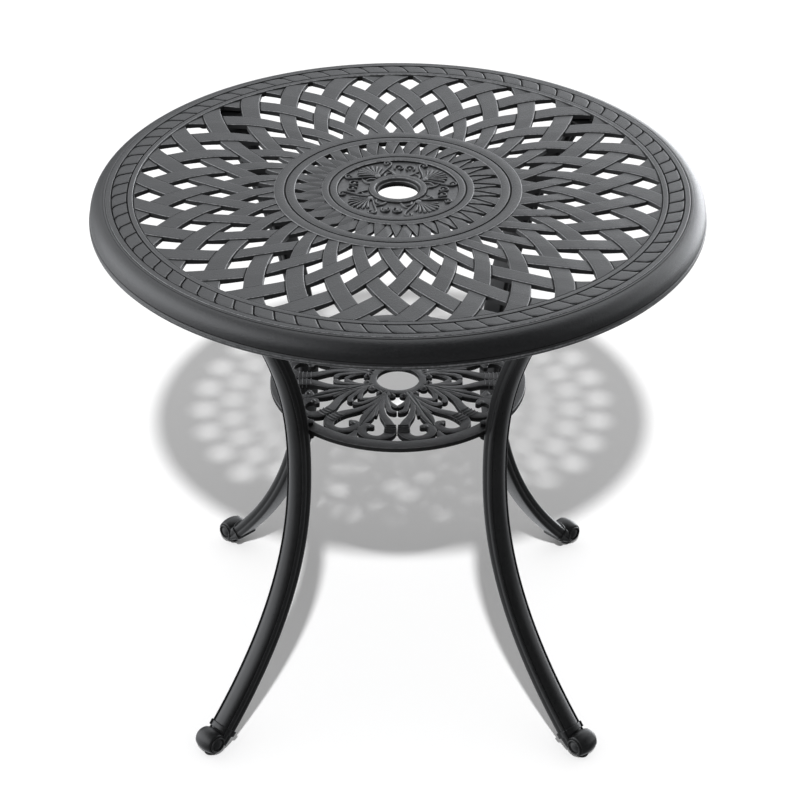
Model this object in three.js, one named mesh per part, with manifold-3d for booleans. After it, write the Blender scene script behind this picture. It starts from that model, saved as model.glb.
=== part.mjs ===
// Round cast aluminium garden table with an umbrella hole.
// Millimetres, +Z up. The origin is on the floor, under the centre of the top.
// The legs stand on the diagonals. Letters a, b, c and d number them anticlockwise from +X +Y.
import * as THREE from 'three';
import { mergeVertices } from 'three/addons/utils/BufferGeometryUtils.js';
import Module from 'manifold-3d';

const wasm = await Module();
wasm.setup();

// Overall sizes
const tableHeight = 714;
const topRadius = 390;
const footRadius = 347.5;
const seatGap = 0.3;
const overrunLength = 2;
const weldStep = 0.0001;

// Rim and flat border of the top
const rimDepth = 33;
const rimWallThickness = 4.6;
const borderInnerRadius = 332;
const borderOuterRadius = 368.3;
const borderThickness = 6.5;
const rimRollInset = 1.4;
const rimRollDepth = 21.5;
const rimStepWidth = 1.6;
const rimStepDepth = 1.8;
const rimBeadHeight = 8;
const rimBeadWidth = 2.2;
const rimSegments = 48;
const rimRollSteps = 3;
const rimHollowSteps = 2;

// Woven field of the top: two families of curved straps that cross over and under
const strapCount = 30;
const strapWidthDegrees = 5.5;
const strapThickness = 4.8;
const strapDipDepth = 1.6;
const fieldRecessDepth = 0.8;
const weaveOuterRadius = 314.5;
const weaveRowPitch = 45.2;
const weaveStartDegrees = 9.56;
const fieldLapWidth = 4;

// Rings, petal weave and medallion at the middle of the top
const ringOuterRadius = 157;
const ringInnerRadius = 130.2;
const petalWidthDegrees = 7.3;
const petalThickness = 4.2;
const petalDipDepth = 1.2;
const petalRecessDepth = 1.4;
const petalOuterRadius = 127.8;
const petalRowPitch = 39.8;
const medallionOuterRadius = 96.6;
const medallionInnerRadius = 76.9;
const medallionFloorDepth = 3;
const medallionFloorThickness = 4;
const collarOuterRadius = 36.5;
const umbrellaHoleRadius = 27;
const collarLipWidth = 2.2;
const hubBossRadius = 40;
const hubBossDepth = 12.5;
const centreSegments = 32;
const ringSegments = 48;

// Bowed legs
const legAngles = [45, 135, 225, 315];
const legNames = ['a', 'b', 'c', 'd'];
const legWidth = 32;
const legDepth = 20;
const legCrownHeight = 2.4;
const legCornerWidth = 2.4;
const legCrownShare = 0.45;
const waistRadius = 179.8;
const waistHeight = 382;
const legTopRadius = 333.1;
const upperPower = 2.15;
const topFlareWidth = 20;
const topFlarePower = 8;
const lowerPower = 2.26;
const ankleHeight = 29;
const ankleInsetDepth = 21.1;
const legStations = 14;
const tailStations = 4;
const tailLeadLength = 9;
const tailBackShare = 0.6;
const tailTurnShare = 0.34;
const tailEndShare = 0.46;
const tailThinShare = 0.45;

// Flange on top of each leg, and its bolts
const flangeThickness = 5.6;
const flangeInnerLength = 17.1;
const flangeOuterLength = 31.9;
const flangeHalfWidth = 40;
const flangeCornerRadius = 9;
const flangeBoltOutLength = 7.9;
const flangeBoltSideLength = 28;
const bossRadius = 8;
const bossDepth = 5.5;
const bossHoleDepth = 8;
const topBoltDiameter = 8;
const topBoltClearance = 0.5;
const topBoltHeadWidth = 13;
const topBoltHeadHeight = 5.3;
const topBoltReachLength = 7;
const washerDiameter = 16;
const washerThickness = 1.6;
const holeSegments = 10;
const hexSides = 6;
const cornerSegments = 2;

// Scroll foot and levelling glide
const ankleBandHeight = 6;
const ankleBandDepth = 1.6;
const scrollHeight = 20;
const scrollRadius = 16.2;
const scrollEndRadius = 13.2;
const scrollHalfWidth = 14;
const eyeRadius = 11.6;
const eyeDepth = 3;
const scrollSegments = 12;
const footPadRadius = 7.5;
const glideRadius = 8.5;
const glideHeight = 3.4;
const glideChamferWidth = 0.8;
const studDiameter = 6;
const studClearance = 0.35;
const studReachLength = 18;
const studHoleSpareDepth = 1.2;
const studSocketDepth = 2;

// Lower shelf
const shelfTopHeight = 431;
const shelfThickness = 6.5;
const shelfOuterRadius = 168.3;
const shelfBandWidth = 18;
const shelfHoleRadius = 28;
const shelfHubRadius = 41.5;
const shelfBays = 8;
const shelfSegments = 48;
const shelfHubSegments = 24;

// Shelf lugs on the legs, bolts and nuts
const shelfBoltRadius = 158;
const shelfBoltDiameter = 6;
const shelfBoltClearance = 0.4;
const shelfHeadWidth = 10;
const shelfHeadHeight = 4;
const shelfNutHeight = 5;
const shelfBoltTailLength = 2;
const lugThickness = 8;
const lugHalfWidth = 9;
const lugRootWidth = 6;

// Scrollwork of one half bay, as shares of the shelf's radius: [off the bay line, out, half width]
const scrollStrapShares = [
  [0.104, 0.2317, 0.0214], [0.1188, 0.3565, 0.022], [0.1093, 0.4991, 0.0261], [0.0749, 0.612, 0.0333],
  [0.0511, 0.6952, 0.044], [0.0505, 0.7546, 0.0523], [0.0772, 0.8259, 0.0392], [0.1485, 0.852, 0.0333],
  [0.2139, 0.8348, 0.0297], [0.2614, 0.7843, 0.0327], [0.2674, 0.7219, 0.0345], [0.2288, 0.6774, 0.0297],
  [0.1812, 0.694, 0.0208],
];
const scrollFingerShares = [
  [0.1188, 0.2971, 0.0131], [0.1515, 0.41, 0.016], [0.1622, 0.5229, 0.0113],
];
// The cup astride each bay line, as shares of the shelf's radius: [off the bay line, out]
const cupOutlineShares = [
  [0, 0.4932], [0.0297, 0.508], [0.0654, 0.4932], [0.0832, 0.4456], [0.101, 0.3446],
  [0.101, 0.2436], [0.0743, 0.2347], [0.0725, 0.2971], [0.0594, 0.3565], [0.0297, 0.3892],
  [0, 0.4159],
];
// The leaf on the line between two bays, as shares of the shelf's radius: [half width, out]
const leafOutlineShares = [
  [0.0297, 0.2377], [0.0238, 0.3803], [0.0178, 0.4635], [0.0475, 0.5882], [0.0392, 0.6595], [0.0178, 0.7249],
];

// Finishes
const castPaint = { color: 0x4b4c4e, roughness: 0.5, metalness: 0.35 };
const legPaint = { color: 0x2b2c2d, roughness: 0.42, metalness: 0.35 };
const boltFinish = { color: 0x232425, roughness: 0.4, metalness: 0.8 };
const zincFinish = { color: 0x9a9c9e, roughness: 0.35, metalness: 0.9 };
const nylon = { color: 0x141414, roughness: 0.7, metalness: 0 };

// Levels that follow from the sizes
const topUnder = tableHeight - borderThickness;
const fieldTop = tableHeight - fieldRecessDepth;
const bossFace = topUnder - bossDepth;
const flangeTop = bossFace - seatGap;
const flangeUnder = flangeTop - flangeThickness;
const legTopHeight = flangeTop - flangeThickness / 2;
const ankleRadius = footRadius - ankleInsetDepth;
const flangeBoltRadius = legTopRadius + flangeBoltOutLength;
const shelfUnder = shelfTopHeight - shelfThickness;
const lugTop = shelfUnder - seatGap;
const lugUnder = lugTop - lugThickness;
const footPadFace = glideHeight + seatGap;

const toRadians = THREE.MathUtils.degToRad;

// Turns a closed geometry into a solid, whichever way its triangles were wound.
function solidOf(geometry) {
  const plain = geometry.clone();
  plain.deleteAttribute('normal');
  plain.deleteAttribute('uv');
  const welded = mergeVertices(plain, weldStep);
  const points = new Float32Array(welded.attributes.position.array);
  const faces = new Uint32Array(welded.index.array);
  const corner = (index) => new THREE.Vector3().fromArray(points, index * 3);
  let volume = 0;
  for (let face = 0; face < faces.length; face += 3) {
    const [first, second, third] = [faces[face], faces[face + 1], faces[face + 2]].map(corner);
    volume += first.dot(second.cross(third));
  }
  if (volume < 0) {
    for (let face = 0; face < faces.length; face += 3) {
      [faces[face], faces[face + 1]] = [faces[face + 1], faces[face]];
    }
  }
  return new wasm.Manifold(new wasm.Mesh({ numProp: 3, vertProperties: points, triVerts: faces }));
}

// Turns a solid back into a geometry with flat shaded faces.
function geometryOf(solid) {
  const mesh = solid.getMesh();
  const geometry = new THREE.BufferGeometry();
  geometry.setAttribute('position', new THREE.BufferAttribute(mesh.vertProperties, 3));
  geometry.setIndex(new THREE.BufferAttribute(mesh.triVerts, 1));
  const flat = geometry.toNonIndexed();
  flat.computeVertexNormals();
  return flat;
}

// Joins a list of solids into one.
function join(solids) {
  return wasm.Manifold.union(solids);
}

// Revolves a closed outline of [radius, height] points about the Z axis.
function revolve(outline, segments) {
  const closed = [...outline, outline[0]].map(([radius, height]) => new THREE.Vector2(radius, height));
  return solidOf(new THREE.LatheGeometry(closed, segments).rotateX(Math.PI / 2));
}

// An upright round bar between two heights.
function roundBar(radius, bottom, top, segments, x = 0, y = 0) {
  const bar = new THREE.CylinderGeometry(radius, radius, top - bottom, segments).rotateX(Math.PI / 2);
  return solidOf(bar.translate(x, y, (top + bottom) / 2));
}

// An upright hexagonal bar, sized over its flats.
function hexBar(flats, bottom, top, x = 0, y = 0) {
  return roundBar(flats / (2 * Math.cos(Math.PI / hexSides)), bottom, top, hexSides, x, y);
}

// A flat plate of the given outline between two heights.
function plate(outline, bottom, top) {
  const shape = outline instanceof THREE.Shape
    ? outline : new THREE.Shape(outline.map(([x, y]) => new THREE.Vector2(x, y)));
  const settings = { depth: top - bottom, bevelEnabled: false, curveSegments: cornerSegments };
  return solidOf(new THREE.ExtrudeGeometry(shape, settings).translate(0, 0, bottom));
}

// A rectangle with round corners.
function roundedRectangle(left, right, low, high, corner) {
  const shape = new THREE.Shape();
  shape.moveTo(left + corner, low);
  shape.lineTo(right - corner, low);
  shape.absarc(right - corner, low + corner, corner, -Math.PI / 2, 0);
  shape.lineTo(right, high - corner);
  shape.absarc(right - corner, high - corner, corner, 0, Math.PI / 2);
  shape.lineTo(left + corner, high);
  shape.absarc(left + corner, high - corner, corner, Math.PI / 2, Math.PI);
  shape.lineTo(left, low + corner);
  shape.absarc(left + corner, low + corner, corner, Math.PI, Math.PI * 1.5);
  return shape;
}

// Lofts a closed skin through rings of points, and closes both ends.
// capOutline gives the ring's flat outline, for cutting the end caps into triangles.
function loft(rings, capOutline) {
  const size = rings[0].length;
  const points = rings.flat().flatMap((point) => [point.x, point.y, point.z]);
  const faces = [];
  for (let ring = 0; ring < rings.length - 1; ring += 1) {
    for (let side = 0; side < size; side += 1) {
      const next = (side + 1) % size;
      const [near, nearNext] = [ring * size + side, ring * size + next];
      faces.push(near, nearNext, nearNext + size, near, nearNext + size, near + size);
    }
  }
  const last = (rings.length - 1) * size;
  const isBackwards = THREE.ShapeUtils.isClockWise(capOutline);
  for (const triangle of THREE.ShapeUtils.triangulateShape(capOutline, [])) {
    const [first, second, third] = isBackwards ? [...triangle].reverse() : triangle;
    faces.push(first, third, second, last + first, last + second, last + third);
  }
  const geometry = new THREE.BufferGeometry();
  geometry.setAttribute('position', new THREE.Float32BufferAttribute(points, 3));
  geometry.setIndex(faces);
  return solidOf(geometry);
}

// One flat ribbon with a swelling width along a smooth curve through [x, y, half width] points.
function ribbon(stations, bottom, top) {
  const axis = new THREE.CatmullRomCurve3(stations.map(([x, y, half]) => new THREE.Vector3(x, y, half)));
  const steps = stations.length - 1;
  const outline = [[], []];
  for (let step = 0; step <= steps; step += 1) {
    const place = axis.getPoint(step / steps);
    const heading = axis.getTangent(step / steps);
    const across = new THREE.Vector2(-heading.y, heading.x).normalize();
    outline[0].push([place.x + across.x * place.z, place.y + across.y * place.z]);
    outline[1].unshift([place.x - across.x * place.z, place.y - across.y * place.z]);
  }
  return plate(outline.flat(), bottom, top);
}

// A ring of woven straps as one closed skin. On the chart of angle against radius each strap is a
// straight band. One family leans forward and the other back, and they take turns on top.
// The chart's own two coordinates are the sum and the difference of the angle and the leaned radius.
function wovenRing(weave) {
  const rowTurn = 180 / strapCount;
  const slope = rowTurn / weave.rowPitch;
  const half = weave.widthDegrees / 2;
  const firstRow = -Math.ceil((weave.to - weave.outerRadius) / weave.rowPitch);
  const lastRow = Math.ceil((weave.outerRadius - weave.from) / weave.rowPitch);
  const levels = { bottom: weave.bottom, low: weave.top - weave.dip, top: weave.top };
  const points = [];
  const faces = [];
  const numbers = new Map();
  const vertex = (strap, row, sumSide, differenceSide, level) => {
    const wrapped = (strap + strapCount) % strapCount;
    const key = [wrapped, row, sumSide, differenceSide, level].join(' ');
    if (!numbers.has(key)) {
      const turn = weaveStartDegrees + wrapped * 2 * rowTurn;
      const sum = turn + slope * weave.outerRadius + sumSide * half;
      const difference = turn + row * 2 * rowTurn - slope * weave.outerRadius + differenceSide * half;
      const angle = toRadians((sum + difference) / 2);
      const radius = (sum - difference) / (2 * slope);
      numbers.set(key, points.length / 3);
      points.push(radius * Math.cos(angle), radius * Math.sin(angle), levels[level]);
    }
    return numbers.get(key);
  };
  const addFace = (corners, isReversed = false) => {
    const ordered = isReversed ? [...corners].reverse() : corners;
    for (let corner = 1; corner < ordered.length - 1; corner += 1) {
      faces.push(ordered[0], ordered[corner], ordered[corner + 1]);
    }
  };
  for (let strap = 0; strap < strapCount; strap += 1) {
    for (let row = firstRow; row <= lastRow; row += 1) {
      for (const leansForward of [true, false]) {
        const place = (crossing, across, along, level) => (leansForward
          ? vertex(crossing.strap, crossing.row, across, along, level)
          : vertex(crossing.strap, crossing.row, -along, across, level));
        const near = { strap, row };
        const far = { strap: leansForward ? strap : strap - 1, row: row + 1 };
        const isOver = (row % 2 === 0) === leansForward;
        if (isOver) {
          addFace([place(near, -1, -1, 'top'), place(near, 1, -1, 'top'), place(near, 1, 1, 'top'),
            place(near, -1, 1, 'top')]);
          addFace([place(near, -1, -1, 'bottom'), place(near, -1, 1, 'bottom'),
            place(near, 1, 1, 'bottom'), place(near, 1, -1, 'bottom')]);
        }
        for (const along of [-1, 1]) {
          const isEnd = row === (along < 0 ? firstRow : lastRow);
          const wall = (lower, upper) => addFace([place(near, -along, along, upper),
            place(near, along, along, upper), place(near, along, along, lower),
            place(near, -along, along, lower)]);
          if (isEnd) wall('bottom', 'low');
          if (isEnd || !isOver) wall('low', 'top');
        }
        if (row === lastRow) continue;
        const [nearLevel, farLevel] = isOver ? ['top', 'low'] : ['low', 'top'];
        addFace([place(near, -1, 1, nearLevel), place(near, 1, 1, nearLevel),
          place(far, 1, -1, farLevel), place(far, -1, -1, farLevel)]);
        addFace([place(near, -1, 1, 'bottom'), place(far, -1, -1, 'bottom'),
          place(far, 1, -1, 'bottom'), place(near, 1, 1, 'bottom')]);
        for (const across of [-1, 1]) {
          const [nearFoot, farFoot] = [place(near, across, 1, 'bottom'), place(far, across, -1, 'bottom')];
          const [nearLow, farLow] = [place(near, across, 1, 'low'), place(far, across, -1, 'low')];
          const side = isOver
            ? [farFoot, farLow, place(near, across, 1, 'top'), nearLow, nearFoot]
            : [nearFoot, farFoot, farLow, place(far, across, -1, 'top'), nearLow];
          addFace(side, across < 0);
        }
      }
    }
  }
  const geometry = new THREE.BufferGeometry();
  geometry.setAttribute('position', new THREE.Float32BufferAttribute(points, 3));
  geometry.setIndex(faces);
  const band = revolve([[weave.from, weave.bottom - overrunLength], [weave.to, weave.bottom - overrunLength],
    [weave.to, weave.top + overrunLength], [weave.from, weave.top + overrunLength]], ringSegments);
  return solidOf(geometry).intersect(band);
}

// The top: rim, border, woven field, rings, petals and the medallion with its collar, in one casting.
function makeTop() {
  const rimBottom = tableHeight - rimDepth;
  const rollInner = borderOuterRadius + rimStepWidth;
  const rollBase = tableHeight - rimStepDepth - rimRollDepth;
  const quarterArc = (outer, top, steps) => Array.from({ length: steps + 1 }, (_, step) => {
    const angle = (step / steps) * Math.PI / 2;
    return [rollInner + (outer - rollInner) * Math.cos(angle), rollBase + (top - rollBase) * Math.sin(angle)];
  });
  const roll = quarterArc(topRadius - rimRollInset, rollBase + rimRollDepth, rimRollSteps);
  const hollow = quarterArc(topRadius - rimWallThickness, topUnder, rimHollowSteps).reverse();
  const rim = revolve([
    [borderInnerRadius, topUnder],
    ...hollow,
    [topRadius - rimWallThickness, rimBottom],
    [topRadius - rimBeadWidth / 2, rimBottom],
    [topRadius, rimBottom + rimBeadHeight / 2],
    [topRadius - rimBeadWidth, rollBase - rimRollInset / 2],
    ...roll,
    [borderOuterRadius, tableHeight],
    [borderInnerRadius, tableHeight],
  ], rimSegments);
  const field = wovenRing({
    widthDegrees: strapWidthDegrees, outerRadius: weaveOuterRadius, rowPitch: weaveRowPitch,
    top: fieldTop, dip: strapDipDepth, bottom: fieldTop - strapThickness,
    from: ringOuterRadius - fieldLapWidth, to: borderInnerRadius + fieldLapWidth,
  });
  const petalTop = tableHeight - petalRecessDepth;
  const petals = wovenRing({
    widthDegrees: petalWidthDegrees, outerRadius: petalOuterRadius, rowPitch: petalRowPitch,
    top: petalTop, dip: petalDipDepth, bottom: petalTop - petalThickness,
    from: medallionOuterRadius - fieldLapWidth, to: ringInnerRadius + fieldLapWidth,
  });
  const ring = revolve([[ringInnerRadius, topUnder], [ringOuterRadius, topUnder],
    [ringOuterRadius, tableHeight], [ringInnerRadius, tableHeight]], ringSegments);
  const floor = tableHeight - medallionFloorDepth;
  const floorUnder = floor - medallionFloorThickness;
  const medallion = revolve([
    [umbrellaHoleRadius, topUnder - hubBossDepth + borderThickness],
    [hubBossRadius, topUnder - hubBossDepth + borderThickness],
    [hubBossRadius, floorUnder],
    [medallionOuterRadius, floorUnder],
    [medallionOuterRadius, tableHeight],
    [medallionInnerRadius, tableHeight],
    [medallionInnerRadius, floor],
    [collarOuterRadius, floor],
    [collarOuterRadius, tableHeight],
    [umbrellaHoleRadius + collarLipWidth, tableHeight],
    [umbrellaHoleRadius, tableHeight - collarLipWidth],
  ], centreSegments);
  let casting = join([rim, field, petals, ring, medallion]);
  for (const legAngle of legAngles) {
    for (const [x, y] of flangeBoltPlaces(legAngle)) {
      const boss = roundBar(bossRadius, bossFace, topUnder + borderThickness / 2, holeSegments, x, y);
      casting = casting.add(boss);
    }
  }
  for (const legAngle of legAngles) {
    for (const [x, y] of flangeBoltPlaces(legAngle)) {
      const tapped = roundBar(topBoltDiameter / 2 + seatGap, bossFace - overrunLength,
        bossFace + bossHoleDepth, holeSegments, x, y);
      casting = casting.subtract(tapped);
    }
  }
  return casting;
}

// The two bolt places of a leg's flange, in the table's frame.
function flangeBoltPlaces(legAngle) {
  const angle = toRadians(legAngle);
  return [-flangeBoltSideLength, flangeBoltSideLength].map((side) => [
    flangeBoltRadius * Math.cos(angle) - side * Math.sin(angle),
    flangeBoltRadius * Math.sin(angle) + side * Math.cos(angle),
  ]);
}

// Distance of a leg's middle line from the table's axis at a height.
function bowRadius(height) {
  if (height > waistHeight) {
    const rise = (height - waistHeight) / (legTopHeight - waistHeight);
    const spread = legTopRadius - topFlareWidth - waistRadius;
    return waistRadius + spread * rise ** upperPower + topFlareWidth * rise ** topFlarePower;
  }
  const fall = (waistHeight - height) / (waistHeight - ankleHeight);
  return waistRadius + (ankleRadius - waistRadius) * fall ** lowerPower;
}

// A leg's section as [across, out] points: a crowned front, straight sides and a chamfered back.
function legSection(grow) {
  const halfWidth = legWidth / 2 + grow;
  const front = legDepth / 2 + grow;
  const half = [
    [halfWidth * legCrownShare, front],
    [halfWidth, front - legCrownHeight],
    [halfWidth, legCornerWidth - front],
    [halfWidth - legCornerWidth, -front],
  ];
  const mirrored = half.map(([across, out]) => [-across, out]).reverse();
  return [...half, ...mirrored];
}

// The rings of a leg section carried along a curve in the leg's radial plane.
function sectionRings(curve, section, from, to, steps, thin = () => 1) {
  const rings = [];
  for (let step = 0; step <= steps; step += 1) {
    const share = from + (to - from) * (step / steps);
    const place = curve.getPointAt(share);
    const heading = curve.getTangentAt(share);
    const out = new THREE.Vector3(-heading.z, 0, heading.x);
    rings.push(section.map(([across, depth]) => new THREE.Vector3(
      place.x + out.x * depth * thin(share), across, place.z + out.z * depth * thin(share))));
  }
  return rings;
}

// One leg, built in the XZ plane with its foot towards +X.
function makeLeg() {
  const bow = [];
  for (let step = 0; step <= legStations; step += 1) {
    const height = ankleHeight + (legTopHeight - ankleHeight) * (step / legStations);
    bow.push(new THREE.Vector3(bowRadius(height), 0, height));
  }
  const bowCurve = new THREE.CatmullRomCurve3(bow);
  const section = legSection(0);
  const flat = (points) => points.map(([x, y]) => new THREE.Vector2(x, y));
  const shank = loft(sectionRings(bowCurve, section, 0, 1, legStations), flat(section))
    .trimByPlane([0, 0, -1], -flangeTop);

  const ankle = bowCurve.getPoint(0);
  const ankleHeading = bowCurve.getTangent(0);
  const tail = new THREE.CubicBezierCurve3(
    ankle,
    ankle.clone().addScaledVector(ankleHeading, -tailLeadLength),
    new THREE.Vector3(footRadius - scrollRadius * tailBackShare, 0,
      scrollHeight - scrollRadius * tailTurnShare),
    new THREE.Vector3(footRadius, 0, scrollHeight - scrollRadius * tailEndShare),
  );
  const tailCurve = new THREE.CatmullRomCurve3(tail.getPoints(tailStations).reverse());
  const thinning = (share) => 1 - tailThinShare * (1 - share);
  const tailRings = sectionRings(tailCurve, section, 0, 1, tailStations, thinning);
  const toe = loft(tailRings, flat(section));

  const bandCurve = new THREE.LineCurve3(
    ankle.clone().addScaledVector(ankleHeading, -ankleBandHeight / 2),
    ankle.clone().addScaledVector(ankleHeading, ankleBandHeight / 2),
  );
  const bandSection = legSection(ankleBandDepth);
  const band = loft(sectionRings(bandCurve, bandSection, 0, 1, 1), flat(bandSection));

  const barrelOutline = [
    [0, -scrollHalfWidth - eyeDepth], [eyeRadius, -scrollHalfWidth - eyeDepth],
    [eyeRadius, -scrollHalfWidth], [scrollEndRadius, -scrollHalfWidth],
    [scrollRadius, -scrollHalfWidth / 2], [scrollRadius, scrollHalfWidth / 2],
    [scrollEndRadius, scrollHalfWidth], [eyeRadius, scrollHalfWidth],
    [eyeRadius, scrollHalfWidth + eyeDepth], [0, scrollHalfWidth + eyeDepth],
  ].map(([radius, height]) => new THREE.Vector2(radius, height));
  const barrel = solidOf(new THREE.LatheGeometry(barrelOutline, scrollSegments)
    .translate(footRadius, 0, scrollHeight));

  const pad = roundBar(footPadRadius, footPadFace, scrollHeight - scrollRadius / 2, holeSegments, footRadius);
  const studTop = glideHeight + studReachLength;
  const studHole = roundBar(studDiameter / 2 + studClearance, footPadFace - overrunLength,
    studTop + studHoleSpareDepth, holeSegments, footRadius);

  const flange = plate(roundedRectangle(legTopRadius - flangeInnerLength, legTopRadius + flangeOuterLength,
    -flangeHalfWidth, flangeHalfWidth, flangeCornerRadius), flangeUnder, flangeTop);
  const boltHoles = flangeBoltPlaces(0).map(([x, y]) => roundBar(topBoltDiameter / 2 + topBoltClearance,
    flangeUnder - overrunLength, flangeTop + overrunLength, holeSegments, x, y));

  const lugTip = shelfBoltRadius - lugHalfWidth;
  const lugRootRadius = bowRadius(lugTop) - legDepth / 2 + lugRootWidth;
  const lug = plate(roundedRectangle(lugTip, lugRootRadius, -lugHalfWidth, lugHalfWidth,
    lugRootWidth), lugUnder, lugTop);
  const lugHole = roundBar(shelfBoltDiameter / 2 + shelfBoltClearance, lugUnder - overrunLength,
    lugTop + overrunLength, holeSegments, shelfBoltRadius);

  return join([shank, toe, band, barrel, pad, flange, lug])
    .subtract(join([studHole, lugHole, ...boltHoles]));
}

// The lower shelf: an outer band, a hub ring and eight bays of scrollwork between them.
function makeShelf() {
  const band = revolve([[shelfOuterRadius - shelfBandWidth, shelfUnder], [shelfOuterRadius, shelfUnder],
    [shelfOuterRadius, shelfTopHeight], [shelfOuterRadius - shelfBandWidth, shelfTopHeight]], shelfSegments);
  const hub = revolve([[shelfHoleRadius, shelfUnder], [shelfHubRadius, shelfUnder],
    [shelfHubRadius, shelfTopHeight], [shelfHoleRadius, shelfTopHeight]], shelfHubSegments);
  const inSize = (shares) => shares.map((point) => point.map((share) => share * shelfOuterRadius));
  const mirror = (points) => points.map(([off, ...rest]) => [-off, ...rest]);
  const [strap, finger, cup, leaf] = [scrollStrapShares, scrollFingerShares, cupOutlineShares,
    leafOutlineShares].map(inSize);
  const motif = join([
    ribbon(strap, shelfUnder, shelfTopHeight),
    ribbon(mirror(strap), shelfUnder, shelfTopHeight),
    ribbon(finger, shelfUnder, shelfTopHeight),
    ribbon(mirror(finger), shelfUnder, shelfTopHeight),
    plate([...cup.slice(0, -1), ...mirror(cup).slice(1).reverse()], shelfUnder, shelfTopHeight),
  ]);
  const leafPlate = plate([...leaf, ...mirror(leaf).reverse()], shelfUnder, shelfTopHeight)
    .rotate([0, 0, 180 / shelfBays]);
  const pieces = [band, hub];
  for (let bay = 0; bay < shelfBays; bay += 1) {
    const turn = (bay * 360) / shelfBays;
    pieces.push(motif.rotate([0, 0, turn]), leafPlate.rotate([0, 0, turn]));
  }
  const holes = legAngles.map((legAngle) => {
    const angle = toRadians(legAngle);
    return roundBar(shelfBoltDiameter / 2 + shelfBoltClearance, shelfUnder - overrunLength,
      shelfTopHeight + overrunLength, holeSegments, shelfBoltRadius * Math.cos(angle),
      shelfBoltRadius * Math.sin(angle));
  });
  return join(pieces).subtract(join(holes));
}

// A hexagon bolt, head down, standing up from z = 0 at the underside of its head.
function makeTopBolt() {
  const shank = roundBar(topBoltDiameter / 2, -topBoltHeadHeight / 2,
    washerThickness + 2 * seatGap + flangeThickness + seatGap + topBoltReachLength, holeSegments);
  return join([hexBar(topBoltHeadWidth, -topBoltHeadHeight, 0), shank]);
}

// A flat washer on z = 0.
function makeWasher() {
  const bore = topBoltDiameter / 2 + topBoltClearance;
  return revolve([[bore, 0], [washerDiameter / 2, 0], [washerDiameter / 2, washerThickness],
    [bore, washerThickness]], holeSegments);
}

// A hexagon bolt for the shelf, head up, with the underside of its head on z = 0.
function makeShelfBolt() {
  const length = shelfThickness + lugThickness + 3 * seatGap + shelfNutHeight + shelfBoltTailLength;
  return join([hexBar(shelfHeadWidth, 0, shelfHeadHeight),
    roundBar(shelfBoltDiameter / 2, -length, shelfHeadHeight / 2, holeSegments)]);
}

// A hexagon nut with its top on z = 0.
function makeShelfNut() {
  const bore = roundBar(shelfBoltDiameter / 2 + seatGap, -shelfNutHeight - overrunLength, overrunLength,
    holeSegments);
  return hexBar(shelfHeadWidth, -shelfNutHeight, 0).subtract(bore);
}

// The moulded base of a levelling glide, on z = 0, with a socket for its stud.
function makeGlideBase() {
  const socket = studDiameter / 2 + seatGap;
  const socketFloor = glideHeight - studSocketDepth - seatGap;
  return revolve([[0, 0], [glideRadius - glideChamferWidth, 0], [glideRadius, glideChamferWidth],
    [glideRadius, glideHeight - glideChamferWidth], [glideRadius - glideChamferWidth, glideHeight],
    [socket, glideHeight], [socket, socketFloor], [0, socketFloor]], scrollSegments);
}

// The threaded stud that screws the glide into the foot.
function makeGlideStud() {
  return roundBar(studDiameter / 2, glideHeight - studSocketDepth, glideHeight + studReachLength,
    holeSegments);
}

const table = new THREE.Group();

// Adds a named piece with its finish to a parent.
function addPiece(parent, name, geometry, finish) {
  const mesh = new THREE.Mesh(geometry, new THREE.MeshStandardMaterial(finish));
  mesh.name = name;
  parent.add(mesh);
  return mesh;
}

addPiece(table, 'table_top', geometryOf(makeTop()), castPaint);
addPiece(table, 'lower_shelf', geometryOf(makeShelf()), castPaint);

const legShape = geometryOf(makeLeg());
const topBoltShape = geometryOf(makeTopBolt());
const washerShape = geometryOf(makeWasher());
const shelfBoltShape = geometryOf(makeShelfBolt());
const shelfNutShape = geometryOf(makeShelfNut());
const glideBaseShape = geometryOf(makeGlideBase());
const glideStudShape = geometryOf(makeGlideStud());

legAngles.forEach((legAngle, index) => {
  const corner = new THREE.Group();
  corner.rotation.z = toRadians(legAngle);
  table.add(corner);
  const letter = legNames[index];
  addPiece(corner, `leg_${letter}`, legShape, legPaint);
  flangeBoltPlaces(0).forEach(([x, y], side) => {
    const washer = addPiece(corner, `top_washer_${letter}${side + 1}`, washerShape, zincFinish);
    washer.position.set(x, y, flangeUnder - seatGap - washerThickness);
    const bolt = addPiece(corner, `top_bolt_${letter}${side + 1}`, topBoltShape, boltFinish);
    bolt.position.set(x, y, flangeUnder - 2 * seatGap - washerThickness);
  });
  const shelfBolt = addPiece(corner, `shelf_bolt_${letter}`, shelfBoltShape, boltFinish);
  shelfBolt.position.set(shelfBoltRadius, 0, shelfTopHeight + seatGap);
  const nut = addPiece(corner, `shelf_nut_${letter}`, shelfNutShape, boltFinish);
  nut.position.set(shelfBoltRadius, 0, lugUnder - seatGap);
  const base = addPiece(corner, `glide_base_${letter}`, glideBaseShape, nylon);
  base.position.set(footRadius, 0, 0);
  const stud = addPiece(corner, `glide_stud_${letter}`, glideStudShape, zincFinish);
  stud.position.set(footRadius, 0, 0);
});

export default table;
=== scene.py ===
"""Looks of a round cast aluminium garden table with an umbrella hole.

Every mesh is worked out in millimetres, in the table's own frame, and turned into metres when its
object is made. The origin is on the floor under the middle of the top, and +Z is up. Legs a, b, c
and d stand on the diagonals, anticlockwise from +X +Y.
"""

import logging
from dataclasses import dataclass, replace
from enum import Enum
from functools import cache
from math import cos, pi, radians, sin

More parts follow.
